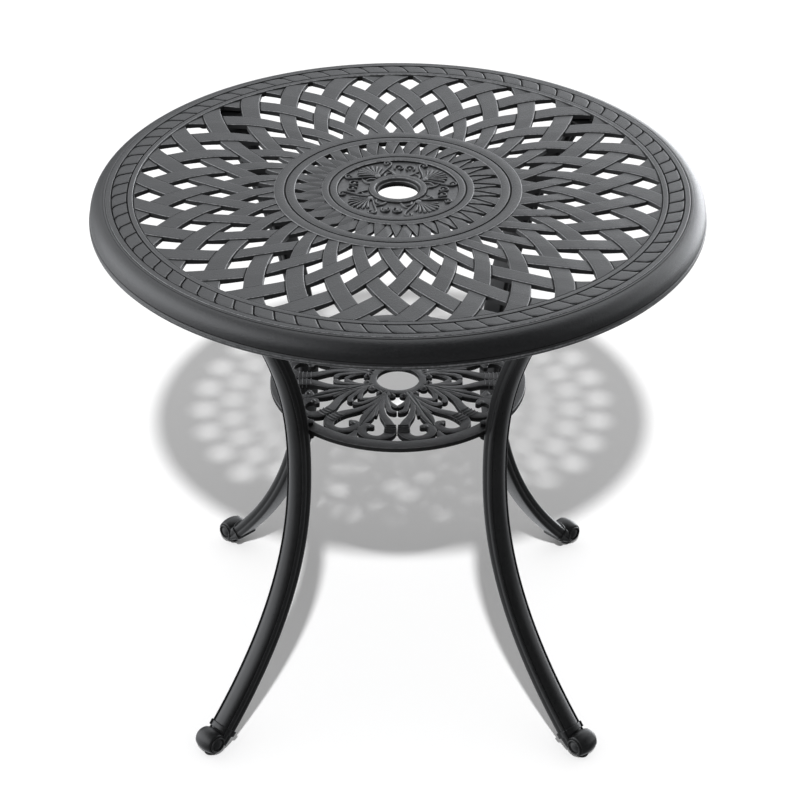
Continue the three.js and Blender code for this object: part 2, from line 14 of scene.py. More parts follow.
import bpy
import numpy as np
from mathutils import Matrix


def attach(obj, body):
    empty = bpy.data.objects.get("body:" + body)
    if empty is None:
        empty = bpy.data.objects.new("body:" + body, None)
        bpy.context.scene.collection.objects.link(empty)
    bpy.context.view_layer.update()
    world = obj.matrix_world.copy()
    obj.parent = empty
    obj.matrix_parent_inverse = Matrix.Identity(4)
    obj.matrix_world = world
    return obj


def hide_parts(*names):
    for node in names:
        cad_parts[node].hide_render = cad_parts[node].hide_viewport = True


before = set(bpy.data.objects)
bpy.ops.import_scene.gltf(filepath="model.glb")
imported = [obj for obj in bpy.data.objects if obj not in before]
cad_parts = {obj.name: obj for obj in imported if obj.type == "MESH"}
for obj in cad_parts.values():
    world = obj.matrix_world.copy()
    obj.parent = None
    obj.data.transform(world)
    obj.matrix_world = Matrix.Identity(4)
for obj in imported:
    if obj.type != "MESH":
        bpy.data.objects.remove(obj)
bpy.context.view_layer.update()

log = logging.getLogger("umbrella_table")

Array = np.ndarray
Values = Array | list | tuple | float
Colour = tuple[float, float, float]
Socket = bpy.types.NodeSocket
Sockets = bpy.types.bpy_prop_collection
MM = 0.001
LEG_ANGLES = {"a": 45.0, "b": 135.0, "c": 225.0, "d": 315.0}
SIDES = (1.0, -1.0)
# The first mask paints shade dark in grooves, on walls and beside overlapping straps; the second paints points
# lighter, for rubbed edges and as painted highlights.
PAINTED_SHADE, EDGE_WEAR_AND_HIGHLIGHT = "groove", "edge"
# An eased corner of a cast band: steps in from its wall and down from its face.
EASED = np.array([[0, -1.4], [0.15, -0.7], [0.6, -0.2], [1.3, 0]])
FLIP = np.array([-1, 1])


# ---------------------------------------------------------------- surfaces


@dataclass
class Skin:
    """A closed surface in the making: points in mm, faces, and two masks on the points."""

    points: Array
    quads: Array
    tris: Array
    groove: Array
    edge: Array

    def turned(self, angle: float) -> "Skin":
        """Returns the skin turned about the Z axis by an angle in degrees."""
        c, s = cos(radians(angle)), sin(radians(angle))
        return replace(self, points=self.points @ np.array([[c, s, 0], [-s, c, 0], [0, 0, 1]]))

    def moved(self, x: float, y: float = 0.0) -> "Skin":
        """Returns the skin moved level by a distance in mm."""
        return replace(self, points=self.points + np.array([x, y, 0]))

    def outward(self) -> "Skin":
        """Turns the faces outwards, where the signed volume says that they point inwards.

        Returns:
            The skin with its faces outwards.
        """
        q = self.quads
        fans = np.vstack([q[:, [0, 1, 2]], q[:, [0, 2, 3]], self.tris])
        a, b, c = (self.points[fans[:, i]] for i in range(3))
        if np.einsum("ij,ij->i", a, np.cross(b, c)).sum() >= 0:
            return self
        return replace(self, quads=q[:, ::-1], tris=self.tris[:, ::-1])


def joined(skins: list[Skin]) -> Skin:
    """Puts several skins into one.

    Args:
        skins: the skins, each closed by itself.

    Returns:
        One skin that holds them all.
    """
    starts = np.cumsum([0] + [len(skin.points) for skin in skins[:-1]])
    return Skin(
        np.vstack([skin.points for skin in skins]),
        np.vstack([skin.quads + start for skin, start in zip(skins, starts)]),
        np.vstack([skin.tris + start for skin, start in zip(skins, starts)]),
        np.concatenate([skin.groove for skin in skins]),
        np.concatenate([skin.edge for skin in skins]),
    )


def around(skin: Skin, count: int, start: float = 0.0) -> Skin:
    """Repeats a skin about the Z axis in equal steps, the first turned by start degrees."""
    return joined([skin.turned(start + 360.0 * n / count) for n in range(count)])


def marks(count: int, runs: dict[int, Values]) -> Array:
    """Makes a mask of zeros but for a few runs of values.

    Args:
        count: how many points it covers.
        runs: values in a row, by the place where they start.

    Returns:
        The mask.
    """
    mask = np.zeros(count)
    for start, values in runs.items():
        mask[start:start + len(values)] = values
    return mask


def there_and_back(values: Values) -> Array:
    """Returns the values followed by themselves in reverse, with the last one once."""
    return np.append(values, values[-2::-1])


def full_turn(count: int) -> Array:
    """Returns the angles of equal steps round a circle, in radians."""
    return np.linspace(0, 2 * pi, count, endpoint=False)


def polar(r: Values, turn: Array, z: Values) -> Array:
    """Returns the points at radii, angles in radians and heights."""
    x, y = r * np.cos(turn), r * np.sin(turn)
    return np.stack([x, y, np.broadcast_to(z, x.shape)], -1)


def grid_skin(points: Array, ringed: bool, groove: Values = 0.0, edge: Values = 0.0) -> Skin:
    """Makes a skin from a grid of points, four neighbours to a face, each row a closed loop.

    Args:
        points: array of rows by columns by 3.
        ringed: joins the last row to the first. Otherwise each gets a fan about its middle.
        groove: mask of the points painted dark as shade, in grooves, on walls and in hollows, which spreads over the
            grid.
        edge: mask of the points painted lighter, on rubbed edges and as painted highlights, which spreads over the
            grid.

    Returns:
        The skin, with its faces outwards.
    """
    rows, cols = points.shape[:2]
    down, along = np.meshgrid(np.arange(rows if ringed else rows - 1), np.arange(cols), indexing="ij")
    below, beside = (down + 1) % rows * cols, (along + 1) % cols
    down = down * cols
    quads = np.stack([down + along, down + beside, below + beside, below + along], -1).reshape(-1, 4)
    flat = points.reshape(-1, 3)
    masks = [np.broadcast_to(mask, (rows, cols)).astype(float).ravel() for mask in (groove, edge)]
    tris = np.zeros((0, 3), int)
    if not ringed:
        ring = np.arange(cols)
        after, last, hub = (ring + 1) % cols, (rows - 1) * cols, len(flat)
        low = np.stack([after, ring, np.full(cols, hub)], -1)
        high = np.stack([ring + last, after + last, np.full(cols, hub + 1)], -1)
        tris = np.vstack([low, high])
        flat = np.vstack([flat, points[0].mean(0), points[-1].mean(0)])
        masks = [np.append(mask, [0, 0]) for mask in masks]
    return Skin(flat, quads, tris, *masks).outward()


def smooth_path(stations: Array, count: int) -> Array:
    """Runs a smooth curve through stations.

    Each span is the cubic through its two ends whose slopes are half the chord between their
    neighbours, so the curve passes every station.

    Args:
        stations: array of stations by values.
        count: how many points the finer curve has.

    Returns:
        Array of count by values.
    """
    p = np.vstack([2 * stations[0] - stations[1], stations, 2 * stations[-1] - stations[-2]])
    t = np.linspace(0, len(stations) - 1.0, count)
    i = np.minimum(t.astype(int), len(stations) - 2)
    f = (t - i)[:, None]
    a, b, c, d = p[i], p[i + 1], p[i + 2], p[i + 3]
    return 0.5 * (2 * b + (c - a) * f + (2 * a - 5 * b + 4 * c - d) * f**2 + (3 * b - a - 3 * c + d) * f**3)


def smooth_step(value: Array) -> Array:
    """Returns 3 v v - 2 v v v of the value held between 0 and 1."""
    v = np.clip(value, 0, 1)
    return v * v * (3 - 2 * v)


def revolved(outline: Values, segments: int, groove: Values = 0.0, edge: Values = 0.0, solid: bool = False) -> Skin:
    """Turns an outline about the Z axis: x = r cos a, y = r sin a, z = z.

    Args:
        outline: points by radius and height.
        segments: how many steps make the full turn.
        groove: mask along the outline.
        edge: mask along the outline.
        solid: the outline runs from one pole to the other, and both poles are closed. Otherwise
            the outline is closed from its last point to its first.

    Returns:
        The closed solid or ring.
    """
    r, z = np.array(outline, float).T[..., None]
    masks = [np.reshape(mask, (-1, 1)) for mask in (groove, edge)]
    return grid_skin(polar(r, full_turn(segments), z), not solid, *masks)


class Section(Enum):
    """How a flat band or a raised bead is shaped across."""

    PLATE = "plate"
    BEAD = "bead"
    VEINED = "veined"


def eased(radius: float, top: float, way: float) -> Array:
    """Returns an eased corner from wall to face, where the face lies outwards (1) or inwards (-1)."""
    return np.array([radius, top]) + EASED * np.array([way, 1])


def sided(stations: Values, way: float) -> Array:
    """Returns stations of out, aside and half width, mirrored in the XZ plane where way is -1."""
    return np.array(stations) * np.array([1, way, 1])


def carried(
    stations: Values, count: int, top: float, bottom: float, section: Section = Section.BEAD,
    corner: float = 1.0, crown: float = 0.25, end_steps: int = 5,
) -> Skin:
    """Carries a section along a flat path and rounds both ends.

    A plate is a rectangle with its upper corners rounded and its middle raised a little. A bead
    is the upper half of an ellipse. A veined plate has a narrow groove along its middle. Past each
    end the half width shrinks as the cosine of an angle while the path runs on as its sine, so
    the end is half round.

    Args:
        stations: rows of x, y and half width.
        count: points along the path.
        top: height of the upper face.
        bottom: height of the under face.
        section: which section.
        corner: radius of the upper corners.
        crown: rise of the middle.
        end_steps: steps of each round end.

    Returns:
        The closed band.
    """
    path = smooth_path(np.array(stations, float), count)
    heading = np.gradient(path[:, :2], axis=0)
    heading /= np.linalg.norm(heading, axis=1, keepdims=True)
    angle = np.linspace(0.49 * pi, 0, end_steps, endpoint=False)
    ahead, shrink = np.sin(angle)[:, None], np.cos(angle)
    start = path[0, :2] - heading[0] * ahead * path[0, 2]
    finish = (path[-1, :2] + heading[-1] * ahead * path[-1, 2])[::-1]
    place = np.vstack([start, path[:, :2], finish])
    full = np.concatenate([shrink, np.ones(count), shrink[::-1]])[:, None]
    half = np.pad(path[:, 2], end_steps, "edge")[:, None] * full
    course = np.pad(heading, ((end_steps, end_steps), (0, 0)), "edge")
    side = np.stack([-course[:, 1], course[:, 0]], -1)
    if section is Section.BEAD:
        theta = np.linspace(0, pi, 9)
        arch = bottom + 0.6 + (top - bottom - 0.6) * full * np.sin(theta)
        across = np.hstack([half, half * np.cos(theta), -half])
        height = np.pad(arch, ((0, 0), (1, 1)), constant_values=bottom)
        # Painted shade on the bead's two lowest points each side; its crest is painted lighter, as rubbing and
        # painted highlight.
        groove = marks(11, {0: [1, 1], 9: [1, 1]})
        edge = marks(11, {4: [0.5, 0.8, 0.5]})
    else:
        c = np.minimum(corner, 0.45 * half)
        inset = c * np.array([0, 0, 0.13, 0.5, 1])
        drop = np.hstack([0 * c + top - bottom, c * np.array([1, 0.5, 0.13, 0])])
        if section is Section.VEINED:
            middle, deep = half * np.array([0.28, 0.14, 0, -0.14, -0.28]), [0, 0.3, 1, 0.3, 0]
            dip = np.array([0, 0.35, 1.1, 0.35, 0]) * full
        else:
            middle, deep = half * np.array([0.4, 0, -0.4]), [0, 0, 0]
            dip = np.array([-0.7, -1, -0.7]) * crown * full
        across = np.hstack([half - inset, middle, (inset - half)[:, ::-1]])
        height = np.hstack([top - drop, top - dip, top - drop[:, ::-1]])
        # Painted shade on the walls and in the vein; the rounded upper corners are painted lighter, as rubbing and
        # painted highlight.
        groove = np.array([1, 1, 0, 0, 0, *deep, 0, 0, 0, 1, 1])
        edge = marks(len(groove), {2: [1, 1], len(groove) - 4: [1, 1]})
    flat = place[:, None] + side[:, None] * across[..., None]
    return grid_skin(np.concatenate([flat, height[..., None]], -1), False, groove, edge)


def dome(x: float, y: float, radius: float, base: float, rise: float, segments: int = 20) -> Skin:
    """Makes a low round knob: r = R cos t and z = base + rise sin t.

    Args:
        x: place across.
        y: place across.
        radius: radius at the base.
        base: height of the base.
        rise: how far the knob stands up.
        segments: steps of the full turn.

    Returns:
        The closed knob, with its foot a little under the base.
    """
    t = np.linspace(0, 0.5 * pi, 7)[:-1]
    curve = np.column_stack([radius * np.cos(t), base + rise * np.sin(t)])
    outline = np.vstack([[0.2, base - 0.8], [radius, base - 0.8], curve, [0.2, base + rise]])
    # Painted shade at the foot; the knob is painted lighter towards its top, as rubbing and painted highlight.
    groove = marks(9, {0: [1, 1, 0.7]})
    return revolved(outline, segments, groove, [0, 0, *np.sin(t), 1], solid=True).moved(x, y)


# ---------------------------------------------------------------- objects


def linked(name: str, data: bpy.types.ID) -> bpy.types.Object:
    """Makes an object of a mesh, light or camera and links it to the scene.

    Args:
        name: its name.
        data: the mesh, light or camera.

    Returns:
        The object.
    """
    item = bpy.data.objects.new(name, data)
    bpy.context.scene.collection.objects.link(item)
    return item


def bare_object(name: str, skin: Skin) -> bpy.types.Object:
    """Makes an object in metres from a skin, with its two masks as point attributes.

    Args:
        name: the object's name.
        skin: its surface.

    Returns:
        The linked object.
    """
    mesh = bpy.data.meshes.new(name)
    mesh.from_pydata((skin.points * MM).tolist(), [], skin.quads.tolist() + skin.tris.tolist())
    for label, mask in ((PAINTED_SHADE, skin.groove), (EDGE_WEAR_AND_HIGHLIGHT, skin.edge)):
        layer = mesh.attributes.new(label, "FLOAT", "POINT")
        layer.data.foreach_set("value", np.ascontiguousarray(mask, dtype=np.float32))
    mesh.update()
    return linked(name, mesh)


def read(items: bpy.types.bpy_prop_collection, label: str, columns: int, kind: type = float) -> Array:
    """Reads one property of all items into an array.

    Args:
        items: vertices, triangles or an attribute's data.
        label: the property's name.
        columns: how many numbers an item has.
        kind: their type.

    Returns:
        Array of items by columns.
    """
    values = np.empty(len(items) * columns, kind)
    items.foreach_get(label, values)
    return values.reshape(-1, columns)


def bored(skin: Skin, cutter: Skin) -> Skin:
    """Cuts one closed skin out of another.

    Args:
        skin: what is cut.
        cutter: what is taken away.

    Returns:
        What is left, as triangles.
    """
    body, tool = bare_object("stock", skin), bare_object("cutter", cutter)
    cut = body.modifiers.new("bore", "BOOLEAN")
    cut.object, cut.operation, cut.solver = tool, "DIFFERENCE", "EXACT"
    mesh = bpy.data.meshes.new_from_object(body.evaluated_get(bpy.context.evaluated_depsgraph_get()))
    mesh.calc_loop_triangles()
    points = read(mesh.vertices, "co", 3) / MM
    tris = read(mesh.loop_triangles, "vertices", 3, int)
    masks = [read(mesh.attributes[label].data, "value", 1)[:, 0] for label in (PAINTED_SHADE, EDGE_WEAR_AND_HIGHLIGHT)]
    for used in (body.data, tool.data, mesh):
        bpy.data.meshes.remove(used)
    return Skin(points, np.zeros((0, 4), int), tris, *masks).outward()


def add_piece(
    name: str, skin: Skin, finish: "Finish", *nodes: str, body: str = "frame", sharp: float = 40.0,
) -> None:
    """Makes a finished piece, dresses it and hangs it on its body.

    Args:
        name: the piece's name.
        skin: its surface.
        finish: what it is coated with.
        nodes: the CAD nodes it stands for.
        body: the body it moves with.
        sharp: edges steeper than this many degrees stay sharp.
    """
    item = bare_object(name, skin)
    item.data.shade_smooth()
    item.data.set_sharp_from_angle(angle=radians(sharp))
    item.data.materials.append(finish.material())
    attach(item, body)
    if nodes:
        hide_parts(*nodes)
    log.info("%s: %d points, on %s", name, len(item.data.vertices), body)


# ---------------------------------------------------------------- finishes


@dataclass
class Wiring:
    """Adds nodes to a tree and joins them in one call each."""

    tree: bpy.types.NodeTree

    def node(self, kind: str, settings: dict | None = None, **inputs: object) -> bpy.types.Node:
        """Adds a node.

        Args:
            kind: the node's type, without the ShaderNode that it starts with.
            settings: its properties.
            inputs: socket names, with blanks as underscores, or i0, i1 for numbered sockets, each
                with a value or the output socket that feeds it.

        Returns:
            The node.
        """
        node = self.tree.nodes.new("ShaderNode" + kind)
        for label, value in (settings or {}).items():
            setattr(node, label, value)
        for label, value in inputs.items():
            is_number = label[0] == "i" and label[1:].isdigit()
            self.feed(node.inputs[int(label[1:]) if is_number else label.replace("_", " ")], value)
        return node

    def feed(self, socket: Socket, value: object) -> None:
        """Joins an output to a socket, or sets the socket's own value.

        Args:
            socket: an input of a node.
            value: an output, a number, a vector, or a colour, which is made opaque.
        """
        if isinstance(value, Socket):
            self.tree.links.new(value, socket)
        else:
            socket.default_value = (*value, 1.0) if socket.type == "RGBA" else value

    def maths(self, operation: str, first: object, second: object) -> Socket:
        """Adds a Math node and returns its output."""
        return self.node("Math", {"operation": operation}, i0=first, i1=second).outputs[0]

    def times(self, first: object, second: object) -> Socket:
        """Multiplies two values."""
        return self.maths("MULTIPLY", first, second)

    def plus(self, first: object, second: object) -> Socket:
        """Adds two values."""
        return self.maths("ADD", first, second)

    def mix(self, factor: object, first: object, second: object, blend: str = "MIX") -> Socket:
        """Mixes two colours and returns the result."""
        kind = {"data_type": "RGBA", "blend_type": blend}
        return self.node("Mix", kind, i0=factor, i6=first, i7=second).outputs[2]

    def ramp(self, value: Socket, low: float, high: float, to_low: float = 0.0, to_high: float = 1.0) -> Socket:
        """Maps a value from one range to another, held at the ends."""
        return self.node("MapRange", i0=value, i1=low, i2=high, i3=to_low, i4=to_high).outputs[0]

    def noise(self, place: Socket, scale: object, detail: float, roughness: float = 0.5) -> Socket:
        """Adds a noise texture and returns its value."""
        return self.node("TexNoise", Vector=place, Scale=scale, Detail=detail, Roughness=roughness).outputs[0]

    def mask(self, label: str) -> Socket:
        """Reads a mask on the points."""
        return self.node("Attribute", {"attribute_name": label}).outputs["Fac"]


def fresh(owner: bpy.types.Material | bpy.types.World) -> Wiring:
    """Empties the nodes of a material or a world.

    Args:
        owner: the material or world.

    Returns:
        The wiring of its empty tree.
    """
    owner.use_nodes = True
    owner.node_tree.nodes.clear()
    return Wiring(owner.node_tree)


def new_group(name: str, colours: tuple[str, ...], numbers: tuple[str, ...]) -> tuple[Wiring, Sockets, Sockets]:
    """Starts a shader node group that puts out a colour, a roughness and a height.

    Args:
        name: the group's name.
        colours: names of its colour inputs.
        numbers: names of its number inputs.

    Returns:
        Its wiring, its inputs' sockets and its outputs' sockets.
    """
    group = bpy.data.node_groups.new(name, "ShaderNodeTree")
    sockets = [(label, "INPUT", "Color") for label in colours] + [(label, "INPUT", "Float") for label in numbers]
    sockets += [("Color", "OUTPUT", "Color"), ("Roughness", "OUTPUT", "Float"), ("Height", "OUTPUT", "Float")]
    for label, way, kind in sockets:
        group.interface.new_socket(name=label, in_out=way, socket_type="NodeSocket" + kind)
    given, out = group.nodes.new("NodeGroupInput"), group.nodes.new("NodeGroupOutput")
    return Wiring(group), given.outputs, out.inputs


@cache
def coat_group() -> bpy.types.ShaderNodeTree:
    """Builds the group for powder coat over cast metal, once.

    Fine sand grain comes from two noises of the object's own coordinates. The lightening mask makes
    edges lighter as rubbing, and where it lies on bead crests and the medallion's floor it paints
    highlights and light. The shade mask paints grooves, walls and the strips beside overlapping
    straps nearly black, as painted shade.

    Returns:
        The group, with colour, roughness and height out.
    """
    wire, given, out = new_group("cast_coat", ("Coat", "Worn", "Dust"), ("Grain", "Roughness", "Wear"))
    place = wire.node("TexCoord").outputs["Object"]
    fine = wire.noise(place, given["Grain"], 2.0, 0.6)
    coarse = wire.noise(place, wire.times(given["Grain"], 0.36), 3.0)
    cloud = wire.noise(place, 9.0, 4.0, 0.55)
    groove = wire.mask(PAINTED_SHADE)
    grains = wire.plus(wire.times(fine, 0.62), wire.times(coarse, 0.38))
    spread = wire.maths("SUBTRACT", grains, 0.5)
    shade = wire.plus(wire.times(spread, 2.0), wire.ramp(cloud, 0.3, 0.7, 0.93, 1.07))
    grey = wire.node("CombineColor", i0=shade, i1=shade, i2=shade).outputs[0]
    tinted = wire.mix(1.0, given["Coat"], grey, "MULTIPLY")
    # Lightening: rubbed edges, and painted highlights and painted light where the mask lies on bead crests and the
    # medallion's floor.
    rub_and_highlight = wire.times(wire.ramp(wire.mask(EDGE_WEAR_AND_HIGHLIGHT), 0.25, 1.0), wire.ramp(coarse, 0.35, 0.6, 0.35, 1.0))
    worn_and_highlit = wire.mix(wire.times(rub_and_highlight, given["Wear"]), tinted, given["Worn"])
    facing = wire.node("NewGeometry").outputs["Normal"]
    upward = wire.node("SeparateXYZ", i0=facing).outputs[2]
    settled = wire.times(wire.ramp(upward, 0.55, 1.0), wire.ramp(cloud, 0.48, 0.72, 0.0, 0.16))
    dusty = wire.mix(settled, worn_and_highlit, given["Dust"])
    # Painted shade: the shade mask mixes the colour almost fully to near black.
    dark = wire.times(wire.ramp(groove, 0.05, 0.8), 0.97)
    wire.feed(out["Color"], wire.mix(dark, dusty, (0.002, 0.002, 0.002)))
    uneven = wire.plus(given["Roughness"], wire.times(spread, 0.35))
    matt = wire.plus(wire.times(groove, 0.75), wire.times(settled, 0.2))
    wire.feed(out["Roughness"], wire.ramp(wire.plus(uneven, matt), 0.0, 1.0))
    wire.feed(out["Height"], grains)
    return wire.tree


@cache
def scuff_group() -> bpy.types.ShaderNodeTree:
    """Builds the group for small machined parts, once.

    Long thin noise makes fine tool marks round the part, and a cloud makes uneven plating. Edges are painted
    brighter, as rubbing and painted highlight, and grooves and thread roots are painted dark as shade.

    Returns:
        The group, with colour, roughness and height out.
    """
    wire, given, out = new_group("turned_marks", ("Base", "Bright"), ("Roughness", "Scale"))
    place = wire.node("TexCoord").outputs["Object"]
    stretched = wire.node("Mapping", i0=place, Scale=(1.0, 1.0, 12.0)).outputs[0]
    scratch = wire.noise(stretched, given["Scale"], 4.0)
    cloud = wire.noise(place, 160.0, 3.0)
    patchy = wire.mix(wire.times(wire.ramp(cloud, 0.4, 0.7), 0.35), given["Base"], given["Bright"])
    # The lightening mask brightens edges, as rubbing and painted highlight; the shade mask mixes grooves and thread
    # roots towards near black, as painted shade.
    rubbed = wire.mix(wire.times(wire.mask(EDGE_WEAR_AND_HIGHLIGHT), 0.6), patchy, given["Bright"])
    wire.feed(out["Color"], wire.mix(wire.times(wire.mask(PAINTED_SHADE), 0.7), rubbed, (0.004, 0.004, 0.004)))
    uneven = wire.times(wire.maths("SUBTRACT", scratch, 0.5), 0.4)
    wire.feed(out["Roughness"], wire.ramp(wire.plus(given["Roughness"], uneven), 0.0, 1.0))
    wire.feed(out["Height"], scratch)
    return wire.tree


@dataclass(frozen=True)
class Finish:
    """A finish as a shader: colours and grain from a node group, constants on the shader itself."""

    name: str
    slot: str
    base: Colour
    bright: Colour
    roughness: float
    grain: float
    bump: float
    specular: float = 0.5
    metallic: float = 0.0

    def surface(self, wire: Wiring) -> bpy.types.Node:
        """Adds the group that makes this finish's colour, roughness and height."""
        return wire.node("Group", {"node_tree": scuff_group()}, Base=self.base, Bright=self.bright,
                         Roughness=self.roughness, Scale=self.grain)

    @cache
    def material(self) -> bpy.types.Material:
        """Returns the material, made the first time it is asked for."""
        made = bpy.data.materials.new(self.name)
        wire = fresh(made)
        surface = self.surface(wire).outputs
        relief = wire.node("Bump", Strength=self.bump, Distance=0.0005, Height=surface["Height"])
        shader = wire.node("BsdfPrincipled", Base_Color=surface["Color"], Roughness=surface["Roughness"],
                           Metallic=self.metallic, Specular_IOR_Level=self.specular, Normal=relief.outputs[0])
        wire.node("OutputMaterial", Surface=shader.outputs[0])
        return made


@dataclass(frozen=True)
class PowderCoat(Finish):
    """Sandy powder coat baked on cast aluminium."""

    dust: Colour = (0.045, 0.045, 0.046)
    # Strength of the lightening mask: rubbing on edges, and painted highlights on crests and floors.
    wear: float = 0.4

    def surface(self, wire: Wiring) -> bpy.types.Node:
        """Adds the group that makes this finish's colour, roughness and height."""
        return wire.node("Group", {"node_tree": coat_group()}, Coat=self.base, Worn=self.bright,
                         Dust=self.dust, Grain=self.grain, Roughness=self.roughness, Wear=self.wear)


TOP_COAT = PowderCoat("top_powder_coat", "cast_top", (0.0075, 0.0077, 0.0083), (0.27, 0.275, 0.285),
                      0.34, 850.0, 1.0, specular=0.75, wear=0.7)
# The shelf's paint is the top's paint made over four times lighter: painted light, standing in for the light the
# shelf lacks in the top's shade.
LIT_SHELF_COAT = PowderCoat("shelf_powder_coat_painted_light", "cast_top", (0.034, 0.0344, 0.036), (0.19, 0.19, 0.195),
                        0.34, 850.0, 0.8, specular=0.9)
LEG_COAT = PowderCoat("leg_powder_coat", "cast_leg", (0.0062, 0.0064, 0.0067), (0.03, 0.03, 0.032),
                      0.33, 700.0, 0.35, dust=(0.02, 0.02, 0.02), wear=0.15)
BLACK_STEEL = Finish("black_oxide_steel", "black_steel", (0.012, 0.012, 0.013), (0.06, 0.06, 0.062),
                     0.36, 700.0, 0.15, metallic=0.6)
ZINC = Finish("zinc_plate", "zinc", (0.42, 0.42, 0.44), (0.6, 0.6, 0.62), 0.34, 900.0, 0.15, metallic=1.0)
NYLON = Finish("black_nylon", "nylon", (0.009, 0.009, 0.009), (0.03, 0.03, 0.03), 0.6, 600.0, 0.2, specular=0.4)


# ---------------------------------------------------------------- table top


@dataclass
class WovenRing:
    """A ring of curved straps in two families that cross over and under each other.

    On the chart of angle against radius each strap is straight: its angle changes by half a strap
    pitch for every row of crossings, one family forwards and the other backwards.
    """

    width: float
    first_row: float
    pitch: float
    top: float
    dip: float
    bottom: float
    inner: float
    outer: float
    count: int = 30
    start: float = 9.56
    corner: float = 1.15
    bend: float = 0.0
    # Width in degrees of the strip beside an overlapping strap that is painted dark as its shade; mesh rows also run
    # along it.
    crease_shade: float = 0.27

    def travel(self, r: Array) -> Array:
        """Gives a strap's turn at a radius: slope times the way past the first row, and a square term."""
        past = np.clip(r - self.first_row, 0, None) / (self.outer - self.first_row)
        return 180.0 / self.count / self.pitch * (r - self.first_row) + self.bend * past**2

    def rows(self) -> Array:
        """Gives the rows of a strap's mesh, in degrees past the first crossing.

        Rows lie along both edges of every strap that crosses, with a narrow strip outside each, so
        that the steps and the creases are sharp.

        Returns:
            The rows in rising order.
        """
        period, half = 360.0 / self.count, self.width / 2
        gap, strip = period - self.width, self.crease_shade * np.array([0, 1, 2.2])
        near = [0.3 - half, -0.5 * half, 0, 0.5 * half, half - 0.3]
        past = half + np.concatenate([strip, gap * np.array([0.3, 0.5, 0.7]), gap - strip[::-1]])
        low, high = 2 * self.travel(np.array([self.inner - 2.0, self.outer + 2.0]))
        crossing = np.arange(low // period - 1, high // period + 2)[:, None] * period
        rows = (crossing + np.append(near, past)).ravel()
        return rows[(rows > low - half) & (rows < high + half)]

    def strap(self, forward: bool) -> Skin:
        """Makes one strap.

        A point lies a degrees across its own strap and q degrees along it, counted so that every
        crossing strap's edges are lines of equal q. Its travel is then (q - sign a) / 2, which gives
        its radius. The face is at the top where it passes over, lower by the dip where it passes
        under, and eases between. Just outside a strap that lies over it, a narrow strip is painted
        dark as the shade that strap casts, and the strap's walls are painted a little dark as shade.

        Args:
            forward: which of the two families.

        Returns:
            The closed strap.
        """
        period, half, c = 360.0 / self.count, self.width / 2, self.corner
        sign = -1.0 if forward else 1.0
        q = self.rows()[::-1, None]
        reach = np.linspace(self.inner - 60.0, self.outer + 60.0, 400)
        middle = np.interp(q / 2, self.travel(reach), reach)
        lean = np.arctan(middle * np.radians(period / 2 / self.pitch))
        half_mm = np.radians(half) * middle * np.cos(lean)
        inset = there_and_back([-0.1, 0, 0.13 * c, 0.5 * c, c, 3 * c, 0])
        drop = there_and_back([0, c, 0.5 * c, 0.13 * c, 0, -0.03, -0.05])
        a = half * np.repeat([-1, 0, 1], [6, 1, 6]) * (1 - inset / half_mm)
        r = np.interp((q - sign * a) / 2, self.travel(reach), reach)
        for limit, way in ((self.outer, 1.0), (self.inner, -1.0)):
            left = way * (limit - r)
            r = limit - way * np.where(left > 1, left, 1 / (2 - np.minimum(left, 1)))
        row = -(2 * self.travel(r) + sign * a) / period
        phase = np.abs((row + 1) % 2 - 1)
        under = phase if forward else 1 - phase
        lap = self.width / 2 / period
        ease = np.clip((under - lap) / (1 - 2 * lap), 0, 1)
        height = self.top - self.dip * (0.45 * ease + 0.55 * smooth_step(ease)) - drop
        height[:, [0, -1]] = self.bottom
        points = polar(r, np.radians(self.start + sign * self.travel(r) + a), height)
        # Painted shade: a strip just past an overlapping strap's edge is darkened, and the walls get a quarter of
        # that.
        beyond = (1 - lap - under) * period / self.crease_shade
        crease_shade = np.clip(1.7 - 0.8 * beyond, 0, 1) * (under > 0.5)
        groove = np.where(np.arange(13) % 11 < 2, 0.25, crease_shade)
        return grid_skin(points, False, groove, marks(13, {2: [1, 1], 9: [1, 1]}) * (crease_shade < 0.5))

    def skin(self) -> Skin:
        """Returns all the straps of both families as one skin."""
        return joined([around(self.strap(way), self.count) for way in (True, False)])


